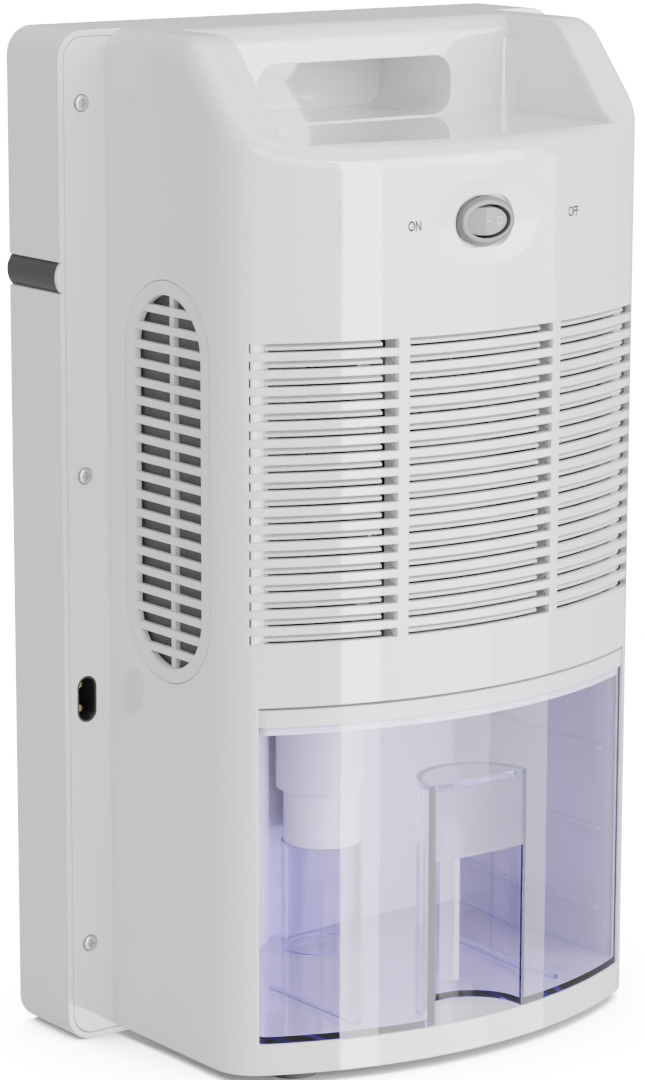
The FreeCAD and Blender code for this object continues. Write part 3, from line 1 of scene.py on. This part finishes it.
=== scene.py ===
# A free-standing dehumidifier: white glossy housing, violet tank that slides out of the front,
# and the fan, heat pump and board that can be made out through its grilles. Metres, +Z up.
import math

import bpy
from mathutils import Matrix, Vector


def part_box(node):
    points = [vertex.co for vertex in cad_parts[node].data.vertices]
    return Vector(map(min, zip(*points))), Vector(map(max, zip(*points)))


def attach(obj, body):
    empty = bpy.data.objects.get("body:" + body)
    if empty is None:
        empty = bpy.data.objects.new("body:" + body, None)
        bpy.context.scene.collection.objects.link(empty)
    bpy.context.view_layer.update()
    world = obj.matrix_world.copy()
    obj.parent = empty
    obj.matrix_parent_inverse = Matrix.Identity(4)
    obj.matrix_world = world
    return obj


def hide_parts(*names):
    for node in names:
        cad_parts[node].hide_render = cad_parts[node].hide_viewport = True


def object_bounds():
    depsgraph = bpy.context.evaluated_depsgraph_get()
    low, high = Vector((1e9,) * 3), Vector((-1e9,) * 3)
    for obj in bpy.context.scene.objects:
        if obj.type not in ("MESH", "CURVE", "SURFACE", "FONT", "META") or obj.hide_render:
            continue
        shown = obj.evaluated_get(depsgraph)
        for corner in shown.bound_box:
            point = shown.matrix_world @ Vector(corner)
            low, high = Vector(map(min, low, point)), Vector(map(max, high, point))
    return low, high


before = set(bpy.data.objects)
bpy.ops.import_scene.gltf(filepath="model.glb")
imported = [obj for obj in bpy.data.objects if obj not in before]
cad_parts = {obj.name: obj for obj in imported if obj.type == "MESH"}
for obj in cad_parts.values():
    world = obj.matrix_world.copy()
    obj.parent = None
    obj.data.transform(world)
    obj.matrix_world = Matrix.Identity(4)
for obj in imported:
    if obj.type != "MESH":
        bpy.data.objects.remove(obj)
cad_low, cad_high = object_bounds()


# ------------------------------------------------------------------ rear slab
# The back half of the housing is a tray moulded in glossy white ABS. The front half screws to
# its ledge. Polished tooling leaves a very faint waviness on the skin.

def new_material(name):
    """An empty node material with its output and one Principled shader."""
    material = bpy.data.materials.new(name)
    material.use_nodes = True
    return material, material.node_tree.nodes["Principled BSDF"]


def build_moulded_skin():
    """Slow drift of the tone and gloss over a moulding, and the height of its fine grain."""
    group = bpy.data.node_groups.new("moulded_skin", "ShaderNodeTree")
    face = group.interface
    for label, kind, value in (
        ("Tone", "NodeSocketColor", (0.8, 0.8, 0.8, 1.0)),
        ("Drift Tone", "NodeSocketColor", (0.75, 0.75, 0.75, 1.0)),
        ("Drift Scale", "NodeSocketFloat", 9.0),
        ("Gloss Low", "NodeSocketFloat", 0.15),
        ("Gloss High", "NodeSocketFloat", 0.22),
        ("Grain Scale", "NodeSocketFloat", 900.0),
    ):
        socket = face.new_socket(label, in_out="INPUT", socket_type=kind)
        socket.default_value = value
    face.new_socket("Colour", in_out="OUTPUT", socket_type="NodeSocketColor")
    face.new_socket("Roughness", in_out="OUTPUT", socket_type="NodeSocketFloat")
    face.new_socket("Height", in_out="OUTPUT", socket_type="NodeSocketFloat")
    nodes, links = group.nodes, group.links
    given = nodes.new("NodeGroupInput")
    result = nodes.new("NodeGroupOutput")
    place = nodes.new("ShaderNodeTexCoord")
    drift = nodes.new("ShaderNodeTexNoise")
    drift.inputs["Detail"].default_value = 3.0
    links.new(place.outputs["Object"], drift.inputs["Vector"])
    links.new(given.outputs["Drift Scale"], drift.inputs["Scale"])
    tone = nodes.new("ShaderNodeMix")
    tone.data_type = "RGBA"
    links.new(drift.outputs["Fac"], tone.inputs["Factor"])
    links.new(given.outputs["Tone"], tone.inputs["A"])
    links.new(given.outputs["Drift Tone"], tone.inputs["B"])
    links.new(tone.outputs["Result"], result.inputs["Colour"])
    gloss = nodes.new("ShaderNodeMapRange")
    links.new(drift.outputs["Fac"], gloss.inputs["Value"])
    links.new(given.outputs["Gloss Low"], gloss.inputs["To Min"])
    links.new(given.outputs["Gloss High"], gloss.inputs["To Max"])
    links.new(gloss.outputs["Result"], result.inputs["Roughness"])
    grain = nodes.new("ShaderNodeTexNoise")
    grain.inputs["Detail"].default_value = 2.0
    links.new(place.outputs["Object"], grain.inputs["Vector"])
    links.new(given.outputs["Grain Scale"], grain.inputs["Scale"])
    links.new(grain.outputs["Fac"], result.inputs["Height"])
    return group


moulded_skin = build_moulded_skin()


def moulded_material(name, tone, drift_tone, gloss, grain, grain_height, edge=0.0,
                     drift_scale=9.0):
    """A moulding: its two tones, its range of gloss, its grain and the softness of its edges."""
    material, shader = new_material(name)
    nodes, links = material.node_tree.nodes, material.node_tree.links
    skin = nodes.new("ShaderNodeGroup")
    skin.node_tree = moulded_skin
    skin.inputs["Tone"].default_value = (*tone, 1.0)
    skin.inputs["Drift Tone"].default_value = (*drift_tone, 1.0)
    skin.inputs["Drift Scale"].default_value = drift_scale
    skin.inputs["Gloss Low"].default_value = gloss[0]
    skin.inputs["Gloss High"].default_value = gloss[1]
    skin.inputs["Grain Scale"].default_value = grain
    links.new(skin.outputs["Colour"], shader.inputs["Base Color"])
    links.new(skin.outputs["Roughness"], shader.inputs["Roughness"])
    bump = nodes.new("ShaderNodeBump")
    bump.inputs["Strength"].default_value = 1.0
    bump.inputs["Distance"].default_value = grain_height
    links.new(skin.outputs["Height"], bump.inputs["Height"])
    if edge > 0:
        soft = nodes.new("ShaderNodeBevel")
        soft.samples = 6
        soft.inputs["Radius"].default_value = edge
        links.new(soft.outputs["Normal"], bump.inputs["Normal"])
    links.new(bump.outputs["Normal"], shader.inputs["Normal"])
    return material, shader


def finish_node(node, material):
    """Give a CAD piece its finish."""
    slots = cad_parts[node].material_slots
    for number in range(len(slots)):
        slots[number].material = material


white_abs, white_abs_shader = moulded_material(
    "white_abs", (0.80, 0.80, 0.80), (0.78, 0.78, 0.782), (0.045, 0.075), 260.0, 0.000002,
    edge=0.0007)
white_abs_shader.inputs["IOR"].default_value = 1.52
white_abs_shader.inputs["Coat Weight"].default_value = 0.5
white_abs_shader.inputs["Coat Roughness"].default_value = 0.03
finish_node("rear_housing", white_abs)


# ------------------------------------------------------------------ side bands
# A black band is pressed into a groove across each side of the slab, behind a moulded stop.
# It is a satin black moulding with fine scuffs.

band_black, _ = moulded_material(
    "band_black", (0.018, 0.018, 0.020), (0.035, 0.035, 0.038), (0.22, 0.38), 1400.0, 0.00001,
    edge=0.0004)
finish_node("side_bumper_left", band_black)
finish_node("side_bumper_right", band_black)


# ------------------------------------------------------------------ front shell
# The shell, its flange, the handle recess and the dish of the switch are one moulding in the
# same glossy white ABS as the slab.

finish_node("front_housing", white_abs)


# ------------------------------------------------------------------ louvres and grilles
# Slanted blades close the front slots, which end in scooped caps, and an oval grille snaps into
# each side over a dark dust screen. They are white ABS from a slightly duller tool.

def only_select(piece):
    """Leave this one object selected and active."""
    bpy.ops.object.select_all(action="DESELECT")
    piece.select_set(True)
    bpy.context.view_layer.objects.active = piece


def settle(piece):
    """Move the piece's place, turn and size into its mesh."""
    only_select(piece)
    bpy.ops.object.transform_apply(location=True, rotation=True, scale=True)


def apply_modifier(piece, kind, **settings):
    """Add one modifier with these settings and apply it."""
    only_select(piece)
    modifier = piece.modifiers.new(kind.lower(), kind)
    for key, value in settings.items():
        setattr(modifier, key, value)
    bpy.ops.object.modifier_apply(modifier=modifier.name)


def join_pieces(pieces, name):
    """One object made of several, with its origin at the frame's origin."""
    bpy.ops.object.select_all(action="DESELECT")
    for piece in pieces:
        piece.select_set(True)
    bpy.context.view_layer.objects.active = pieces[0]
    if len(pieces) > 1:
        bpy.ops.object.join()
    whole = bpy.context.view_layer.objects.active
    whole.name = name
    whole.data.name = name
    return whole


def dress(piece, material, body):
    """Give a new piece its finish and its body."""
    piece.data.materials.clear()
    piece.data.materials.append(material)
    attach(piece, body)


white_satin, _ = moulded_material(
    "white_satin", (0.76, 0.765, 0.77), (0.72, 0.725, 0.735), (0.24, 0.34), 700.0, 0.00001,
    edge=0.0003)
for node in ("front_louvres", "side_grille_left", "side_grille_right"):
    finish_node(node, white_satin)

slot_low = 0.1587
slot_pitch = 0.00587
slot_rows = 18
slot_tall = 0.0031
slot_end = 0.0840
front_radius = 0.170
cap_long = 0.0046
cap_wall = 0.0008
cap_sink = 0.0022
cap_turn = math.asin((slot_end - cap_long / 2) / front_radius)


def make_slot_cap(level):
    """The scooped end of one slot: a thin tongue that slopes in from the shell's skin."""
    bpy.ops.object.select_all(action="DESELECT")
    bpy.ops.mesh.primitive_cube_add(size=1, location=(0, 0, 0))
    tongue = bpy.context.active_object
    tongue.scale = (cap_long, cap_wall, slot_tall)
    settle(tongue)
    bpy.ops.object.mode_set(mode="EDIT")
    bpy.ops.mesh.select_all(action="SELECT")
    bpy.ops.mesh.subdivide(number_cuts=3)
    bpy.ops.object.mode_set(mode="OBJECT")
    for corner in tongue.data.vertices:
        run = corner.co.x / cap_long + 0.5
        corner.co.y += cap_sink * run * run + cap_wall
    apply_modifier(tongue, "BEVEL", width=cap_wall * 0.2, segments=2, limit_method="ANGLE",
                   angle_limit=math.radians(50))
    tongue.rotation_euler = (0, 0, -cap_turn)
    tongue.location = (-front_radius * math.sin(cap_turn),
                       cad_low.y + front_radius * (1 - math.cos(cap_turn)), level)
    settle(tongue)
    bpy.ops.object.shade_smooth_by_angle(angle=math.radians(35))
    return tongue


slot_caps = join_pieces([make_slot_cap(slot_low + slot_pitch * row) for row in range(slot_rows)],
                        "louvre_slot_caps")
dress(slot_caps, white_satin, "housing")

screen_mesh, _ = moulded_material(
    "screen_mesh", (0.10, 0.10, 0.104), (0.16, 0.16, 0.165), (0.6, 0.8), 1500.0, 0.0002,
    drift_scale=900.0)
for node in ("side_screen_left", "side_screen_right"):
    finish_node(node, screen_mesh)


# ------------------------------------------------------------------ housing screws
# Six M3 pan head screws with a cross recess pass through the flange into the slab's bosses.
# They are zinc-plated steel, turned and rolled.

def make_pan_head_screw(x, y, z, head_radius, head_height, shank_radius, shank_length):
    """One screw whose head's underside is at y + head_height, with its shank along +Y."""
    bpy.ops.mesh.primitive_cylinder_add(vertices=40, radius=head_radius, depth=head_height,
                                        location=(0, 0, -head_height / 2))
    head = bpy.context.active_object
    apply_modifier(head, "BEVEL", width=head_height * 0.45, segments=4, limit_method="ANGLE",
                   angle_limit=math.radians(60))
    for turn in (0, 90):
        bpy.ops.mesh.primitive_cube_add(size=1, location=(0, 0, 0))
        cutter = bpy.context.active_object
        cutter.scale = (head_radius * 1.05, head_radius * 0.26, head_height * 1.1)
        cutter.rotation_euler = (0, 0, math.radians(turn))
        settle(cutter)
        apply_modifier(head, "BOOLEAN", object=cutter, operation="DIFFERENCE", solver="EXACT")
        bpy.data.objects.remove(cutter)
    bpy.ops.mesh.primitive_cylinder_add(vertices=24, radius=shank_radius, depth=shank_length,
                                        location=(0, 0, -head_height - shank_length / 2))
    shank = bpy.context.active_object
    apply_modifier(shank, "BEVEL", width=shank_radius * 0.3, segments=2, limit_method="ANGLE",
                   angle_limit=math.radians(60))
    screw = join_pieces([head, shank], "screw")
    screw.rotation_euler = (math.radians(90), 0, 0)
    screw.location = (x, y, z)
    settle(screw)
    bpy.ops.object.shade_smooth_by_angle(angle=math.radians(35))
    return screw


plated_steel, plated_shader = moulded_material(
    "plated_steel", (0.62, 0.62, 0.64), (0.48, 0.48, 0.50), (0.22, 0.36), 3000.0, 0.000005)
plated_shader.inputs["Metallic"].default_value = 1.0
screw_low, screw_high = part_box("housing_screws")
head_radius = 0.00285
head_height = 0.0017
shank_radius = 0.00145
middle_row = 0.2055
screw_x = screw_high.x - head_radius
screw_rows = (screw_low.z + head_radius, middle_row, screw_high.z - head_radius)
shank_length = screw_high.y - screw_low.y - head_height
housing_screws = join_pieces(
    [make_pan_head_screw(side * screw_x, screw_low.y, level, head_radius, head_height, shank_radius,
                         shank_length)
     for level in screw_rows for side in (-1, 1)], "pan_head_screws")
dress(housing_screws, plated_steel, "housing")
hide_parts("housing_screws")


# ------------------------------------------------------------------ mains inlet
# A two-pole inlet of matt black nylon sits behind the flange. Its two contact pins are brass,
# and the lead that plugs into it isn't part of the appliance.

inlet_nylon, _ = moulded_material(
    "inlet_nylon", (0.012, 0.012, 0.013), (0.022, 0.022, 0.024), (0.35, 0.5), 2200.0, 0.00002,
    edge=0.0003)
finish_node("inlet_socket", inlet_nylon)
pin_brass, pin_shader = moulded_material(
    "pin_brass", (0.72, 0.60, 0.34), (0.60, 0.48, 0.25), (0.18, 0.3), 2500.0, 0.000004)
pin_shader.inputs["Metallic"].default_value = 1.0
finish_node("inlet_pins", pin_brass)


# ------------------------------------------------------------------ switch
# An oval bezel of satin grey plastic holds a rocker of the same grey, which has a white bar and
# a white ring printed on it. The words beside it are pad printed on the shell.

bezel_grey, _ = moulded_material(
    "bezel_grey", (0.125, 0.127, 0.13), (0.11, 0.112, 0.115), (0.30, 0.42), 1500.0, 0.00002,
    edge=0.0004)
rocker_grey, _ = moulded_material(
    "rocker_grey", (0.17, 0.172, 0.176), (0.15, 0.152, 0.156), (0.34, 0.45), 1800.0, 0.00002,
    edge=0.0003)
finish_node("switch_bezel", bezel_grey)
finish_node("switch_rocker", rocker_grey)

white_ink, _ = moulded_material(
    "white_ink", (0.78, 0.78, 0.78), (0.62, 0.62, 0.62), (0.45, 0.6), 2500.0, 0.00001,
    drift_scale=600.0)
black_ink, _ = moulded_material(
    "black_ink", (0.012, 0.012, 0.013), (0.025, 0.025, 0.026), (0.45, 0.6), 2500.0, 0.00001,
    drift_scale=600.0)
ink_thickness = 0.00006


def print_on(flat, node):
    """Lay a flat mark, drawn in front of the appliance and facing it, on a CAD piece's surface."""
    apply_modifier(flat, "SHRINKWRAP", target=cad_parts[node], wrap_method="PROJECT",
                   use_project_x=False, use_project_y=True, use_project_z=False,
                   use_positive_direction=True, use_negative_direction=False,
                   offset=ink_thickness)
    apply_modifier(flat, "SOLIDIFY", thickness=ink_thickness, offset=-1)


rocker_low, rocker_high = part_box("switch_rocker")
switch_z = (rocker_low.z + rocker_high.z) / 2
ahead = cad_low.y - 0.01

ring_radius = 0.00125
ring_line = 0.00022
ring_x = 0.0049
bar_long = 0.0015
bar_tall = 0.00022
bar_x = 0.0002
bpy.ops.mesh.primitive_circle_add(vertices=32, radius=ring_radius, fill_type="NGON", location=(0, 0, 0))
ring = bpy.context.active_object
bpy.ops.object.mode_set(mode="EDIT")
bpy.ops.mesh.select_all(action="SELECT")
bpy.ops.mesh.inset(thickness=ring_line)
bpy.ops.mesh.delete(type="FACE")
bpy.ops.object.mode_set(mode="OBJECT")
ring.rotation_euler = (math.radians(90), 0, 0)
ring.location = (ring_x, ahead, switch_z)
ring.scale = (0.85, 1.15, 1.0)
settle(ring)
bpy.ops.mesh.primitive_plane_add(size=1, location=(0, 0, 0))
bar = bpy.context.active_object
bar.scale = (bar_long, bar_tall, 1)
bar.rotation_euler = (math.radians(90), 0, 0)
bar.location = (bar_x, ahead, switch_z)
settle(bar)
bpy.ops.object.mode_set(mode="EDIT")
bpy.ops.mesh.select_all(action="SELECT")
bpy.ops.mesh.subdivide(number_cuts=5)
bpy.ops.object.mode_set(mode="OBJECT")
rocker_marks = join_pieces([ring, bar], "rocker_marks")
print_on(rocker_marks, "switch_rocker")
dress(rocker_marks, white_ink, "rocker")


letter_size = 0.0047
letter_weight = 0.00014
letter_narrow = 0.68
on_x = -0.0298
off_x = 0.0415


def print_word(word, x):
    """One word in narrow capitals beside the switch."""
    bpy.ops.object.text_add(location=(0, 0, 0))
    text = bpy.context.active_object
    text.data.body = word
    text.data.size = letter_size
    text.data.offset = letter_weight
    text.data.align_x = "CENTER"
    text.data.align_y = "CENTER"
    text.data.resolution_u = 6
    bpy.ops.object.convert(target="MESH")
    mark = bpy.context.active_object
    mark.scale = (letter_narrow, 1.0, 1.0)
    mark.rotation_euler = (math.radians(90), 0, 0)
    mark.location = (x, ahead, switch_z)
    settle(mark)
    mark.name = "printed_" + word.lower()
    print_on(mark, "front_housing")
    dress(mark, black_ink, "housing")


print_word("ON", on_x)
print_word("OFF", off_x)


# ------------------------------------------------------------------ tank bay
# The liner that the tank slides into, moulded in the housing's white ABS.

finish_node("tank_bay", white_satin)


# ------------------------------------------------------------------ water tank
# The tank is clear polycarbonate with a violet tint that deepens with thickness, and its edges carry a
# painted violet glow.
# Moulding leaves slow flow waves, and the float, lid and grip plate are white or frosted.

def clear_material(name, tint, rough, depth_colour, density, wave_scale, wave_height, shade,
                   painted_edge_glow):
    """Clear tinted plastic: gloss, flow waves, colour that deepens with thickness, shadows that
    let light through, and a painted glow on its edges, emitted where the edge rounds off."""
    material, shader = new_material(name)
    nodes, links = material.node_tree.nodes, material.node_tree.links
    skin = nodes.new("ShaderNodeGroup")
    skin.node_tree = moulded_skin
    skin.inputs["Tone"].default_value = (*tint, 1.0)
    skin.inputs["Drift Tone"].default_value = (tint[0] * 0.97, tint[1] * 0.97, tint[2], 1.0)
    skin.inputs["Drift Scale"].default_value = 30.0
    skin.inputs["Gloss Low"].default_value = rough
    skin.inputs["Gloss High"].default_value = rough + 0.03
    skin.inputs["Grain Scale"].default_value = wave_scale
    links.new(skin.outputs["Colour"], shader.inputs["Base Color"])
    links.new(skin.outputs["Roughness"], shader.inputs["Roughness"])
    bump = nodes.new("ShaderNodeBump")
    bump.inputs["Distance"].default_value = wave_height
    links.new(skin.outputs["Height"], bump.inputs["Height"])
    links.new(bump.outputs["Normal"], shader.inputs["Normal"])
    shader.inputs["Transmission Weight"].default_value = 1.0
    shader.inputs["IOR"].default_value = 1.5
    absorb = nodes.new("ShaderNodeVolumeAbsorption")
    absorb.inputs["Color"].default_value = (*depth_colour, 1.0)
    absorb.inputs["Density"].default_value = density
    # Painted edge glow: where the softened normal turns from the face, the surface emits a tint that
    # stands in for light run along the walls.
    rounded = nodes.new("ShaderNodeBevel")
    rounded.samples = 6
    rounded.inputs["Radius"].default_value = 0.0009
    facing = nodes.new("ShaderNodeNewGeometry")
    match = nodes.new("ShaderNodeVectorMath")
    match.operation = "DOT_PRODUCT"
    links.new(rounded.outputs["Normal"], match.inputs[0])
    links.new(facing.outputs["Normal"], match.inputs[1])
    painted_glow_rim = nodes.new("ShaderNodeMapRange")
    painted_glow_rim.inputs["From Min"].default_value = 0.99
    painted_glow_rim.inputs["From Max"].default_value = 0.80
    links.new(match.outputs["Value"], painted_glow_rim.inputs["Value"])
    painted_glow_mix = nodes.new("ShaderNodeMix")
    painted_glow_mix.data_type = "RGBA"
    painted_glow_mix.inputs["A"].default_value = (0.0, 0.0, 0.0, 1.0)
    painted_glow_mix.inputs["B"].default_value = (*painted_edge_glow, 1.0)
    links.new(painted_glow_rim.outputs["Result"], painted_glow_mix.inputs["Factor"])
    links.new(painted_glow_mix.outputs["Result"], shader.inputs["Emission Color"])
    shader.inputs["Emission Strength"].default_value = 1.0
    output = nodes["Material Output"]
    links.new(absorb.outputs["Volume"], output.inputs["Volume"])
    path = nodes.new("ShaderNodeLightPath")
    pass_light = nodes.new("ShaderNodeBsdfTransparent")
    pass_light.inputs["Color"].default_value = (*shade, 1.0)
    choose = nodes.new("ShaderNodeMixShader")
    links.new(path.outputs["Is Shadow Ray"], choose.inputs["Fac"])
    links.new(shader.outputs["BSDF"], choose.inputs[1])
    links.new(pass_light.outputs["BSDF"], choose.inputs[2])
    links.new(choose.outputs["Shader"], output.inputs["Surface"])
    return material


# The last colour is the tank's painted violet edge glow.
clear_violet = clear_material("clear_violet", (0.985, 0.965, 1.0), 0.01, (0.50, 0.38, 0.90), 52.0,
                              45.0, 0.00002,
                              (0.90, 0.88, 0.98), (0.13, 0.09, 0.50))
finish_node("water_tank", clear_violet)
# The last colour is the grip plate's painted edge glow.
frosted = clear_material("frosted_plate", (0.74, 0.71, 0.80), 0.26, (0.55, 0.52, 0.78), 240.0,
                         900.0, 0.00002,
                         (0.80, 0.79, 0.88), (0.02, 0.02, 0.05))
finish_node("tank_grip_plate", frosted)
finish_node("tank_lid", white_satin)
float_white, _ = moulded_material(
    "float_white", (0.84, 0.84, 0.85), (0.80, 0.80, 0.81), (0.45, 0.6), 1600.0, 0.00003,
    edge=0.0004)
finish_node("tank_float", float_white)
magnet_grey, magnet_shader = moulded_material(
    "magnet_grey", (0.35, 0.35, 0.36), (0.25, 0.25, 0.26), (0.3, 0.45), 2500.0, 0.00001)
magnet_shader.inputs["Metallic"].default_value = 0.9
finish_node("float_magnet", magnet_grey)


# ------------------------------------------------------------------ fan
# A square axial fan in matt black glass-filled plastic blows out through the louvres.

fan_black, _ = moulded_material(
    "fan_black", (0.022, 0.022, 0.024), (0.035, 0.035, 0.037), (0.42, 0.55), 1800.0, 0.00002,
    edge=0.0004)
fan_blade, _ = moulded_material(
    "fan_blade_black", (0.03, 0.03, 0.032), (0.045, 0.045, 0.047), (0.34, 0.46), 1600.0, 0.00002)
finish_node("fan_frame", fan_black)
finish_node("fan_impeller", fan_blade)
finish_node("fan_screws", plated_steel)


# ------------------------------------------------------------------ heat pump
# Two extruded aluminium heat sinks clamp a thermoelectric module and an aluminium block between
# them. The saw leaves fine lines along the fins.

sink_aluminium, sink_shader = moulded_material(
    "sink_aluminium", (0.60, 0.61, 0.62), (0.50, 0.51, 0.52), (0.28, 0.42), 1400.0, 0.00002,
    drift_scale=40.0)
sink_shader.inputs["Metallic"].default_value = 1.0
for node in ("hot_heatsink", "cold_heatsink", "spacer_block", "regulator_sink"):
    finish_node(node, sink_aluminium)
ceramic, _ = moulded_material(
    "ceramic_plate", (0.78, 0.78, 0.75), (0.70, 0.70, 0.67), (0.5, 0.62), 2500.0, 0.00002)
finish_node("peltier_module", ceramic)
foam, _ = moulded_material(
    "closed_cell_foam", (0.05, 0.05, 0.052), (0.09, 0.09, 0.092), (0.85, 0.95), 1200.0, 0.0002)
finish_node("foam_gasket", foam)
finish_node("clamp_screws", plated_steel)


# ------------------------------------------------------------------ drip tray
# The tray below the cold sink, in natural satin plastic, leads the water down a spout.

tray_plastic, _ = moulded_material(
    "tray_plastic", (0.70, 0.71, 0.72), (0.62, 0.63, 0.65), (0.32, 0.42), 1200.0, 0.00002,
    edge=0.0004)
finish_node("drip_tray", tray_plastic)


# ------------------------------------------------------------------ electronics
# The power board stands above the fan with its transformer, capacitors and heat sink, and the
# potted sensor lies on the bay's ceiling above the float.

board_green, _ = moulded_material(
    "board_green", (0.02, 0.11, 0.05), (0.03, 0.16, 0.07), (0.25, 0.4), 900.0, 0.00003,
    drift_scale=300.0)
finish_node("power_board", board_green)
tape_yellow, _ = moulded_material(
    "tape_yellow", (0.60, 0.47, 0.08), (0.50, 0.38, 0.06), (0.3, 0.45), 900.0, 0.00003,
    drift_scale=60.0)
finish_node("power_transformer", tape_yellow)
can_sleeve, _ = moulded_material(
    "can_sleeve", (0.02, 0.03, 0.07), (0.03, 0.04, 0.09), (0.2, 0.3), 1500.0, 0.00001)
finish_node("smoothing_capacitors", can_sleeve)
potting_black, _ = moulded_material(
    "potting_black", (0.02, 0.02, 0.02), (0.035, 0.035, 0.035), (0.3, 0.5), 1200.0, 0.00002)
finish_node("tank_sensor", potting_black)


# ------------------------------------------------------------------ feet
# Two moulded rubber feet under the front of the shell.

foot_rubber, _ = moulded_material(
    "foot_rubber", (0.03, 0.03, 0.03), (0.05, 0.05, 0.05), (0.7, 0.85), 1500.0, 0.00005)
finish_node("front_feet", foot_rubber)


# ------------------------------------------------------------------ studio
# A white sweep with a painted contact shadow, darker wherever the appliance stands close above it, soft
# boxes in front and above, tall cards in front that show only as reflections in the gloss, and a long
# lens.

bpy.ops.mesh.primitive_plane_add(size=12, location=(0, 0, cad_low.z))
floor = bpy.context.active_object
floor.name = "studio_floor"
floor.visible_glossy = False
floor.visible_shadow = False
floor_paper, floor_shader = moulded_material(
    "floor_paper", (0.86, 0.86, 0.86), (0.84, 0.84, 0.84), (0.8, 0.9), 60.0, 0.0,
    drift_scale=2.0)
paper_nodes, paper_links = floor_paper.node_tree.nodes, floor_paper.node_tree.links
# Painted contact shadow: ambient occlusion near the appliance dims the floor's glow seen by the camera.
painted_contact_shadow = paper_nodes.new("ShaderNodeAmbientOcclusion")
painted_contact_shadow.samples = 16
painted_contact_shadow.inputs["Distance"].default_value = 0.09
painted_shadow_fade = paper_nodes.new("ShaderNodeMapRange")
painted_shadow_fade.inputs["From Min"].default_value = 0.25
painted_shadow_fade.inputs["From Max"].default_value = 0.97
sweep_white = 20.0
painted_shadow_fade.inputs["To Max"].default_value = sweep_white
paper_links.new(painted_contact_shadow.outputs["AO"], painted_shadow_fade.inputs["Value"])
seen = paper_nodes.new("ShaderNodeLightPath")
floor_glow_with_painted_shadow = paper_nodes.new("ShaderNodeMath")
floor_glow_with_painted_shadow.operation = "MULTIPLY"
paper_links.new(painted_shadow_fade.outputs["Result"], floor_glow_with_painted_shadow.inputs[0])
paper_links.new(seen.outputs["Is Camera Ray"], floor_glow_with_painted_shadow.inputs[1])
floor_shader.inputs["Emission Color"].default_value = (1, 1, 1, 1)
paper_links.new(floor_glow_with_painted_shadow.outputs["Value"], floor_shader.inputs["Emission Strength"])
floor.data.materials.append(floor_paper)

world = bpy.data.worlds.new("soft_room")
bpy.context.scene.world = world
world.use_nodes = True
room_nodes, room_links = world.node_tree.nodes, world.node_tree.links
room = room_nodes["Background"]
room.inputs["Color"].default_value = (1, 1, 1, 1)
room_path = room_nodes.new("ShaderNodeLightPath")
room_level = room_nodes.new("ShaderNodeMapRange")
room_level.inputs["To Min"].default_value = 0.85
room_level.inputs["To Max"].default_value = sweep_white
room_links.new(room_path.outputs["Is Camera Ray"], room_level.inputs["Value"])
room_links.new(room_level.outputs["Result"], room.inputs["Strength"])


def soft_light(name, place, target, width, tall, radiance):
    """A rectangular soft box at a place, aimed at a target, of this brightness."""
    bpy.ops.object.light_add(type="AREA", location=place)
    light = bpy.context.active_object
    light.name = name
    light.data.shape = "RECTANGLE"
    light.data.size = width
    light.data.size_y = tall
    light.data.energy = radiance * math.pi * width * tall
    aim = Vector(target) - Vector(place)
    light.rotation_euler = aim.to_track_quat("-Z", "Y").to_euler()
    return light


middle = (cad_low + cad_high) / 2
soft_light("front_box", (0.75, -1.35, 0.75), middle, 1.2, 1.2, 7.2)
soft_light("fill_box", (-0.5, -1.5, 0.7), middle, 0.8, 0.8, 6.0)
soft_light("top_box", (-0.1, -0.2, 1.5), middle, 1.2, 1.2, 2.2)


def reflection_card(name, bearing_from, bearing_to, radiance):
    """A tall white card in front, seen only as a reflection, between two bearings from the front."""
    reach = 1.1
    card_level = 0.1
    card_tall = 1.6
    half = math.radians(bearing_to - bearing_from) / 2
    bearing = math.radians(bearing_from + bearing_to) / 2
    place = (reach * math.sin(bearing), cad_low.y - reach * math.cos(bearing), card_level)
    card = soft_light(name, place, (0, cad_low.y, card_level), 2 * reach * math.tan(half), card_tall,
                      radiance)
    card.visible_diffuse = False
    card.visible_transmission = False
    return card


reflection_card("card_bright", -4, 7, 24.0)
reflection_card("card_middle", 7, 41, 11.0)
reflection_card("card_pale", 41, 62, 6.0)

heading = math.radians(36.809)
pitch = math.radians(12.156)
roll = math.radians(0.18)
bpy.ops.object.camera_add(location=(-0.8485, -1.1182, 0.4608))
camera = bpy.context.active_object
camera.rotation_euler = (math.radians(90) - pitch, -math.cos(pitch) * roll,
                         -heading + math.sin(pitch) * roll)
camera.data.lens = 133.22
camera.data.sensor_width = 36.0
camera.data.shift_x = -0.0188
camera.data.shift_y = 0.0454
camera.data.dof.use_dof = False
bpy.context.scene.camera = camera
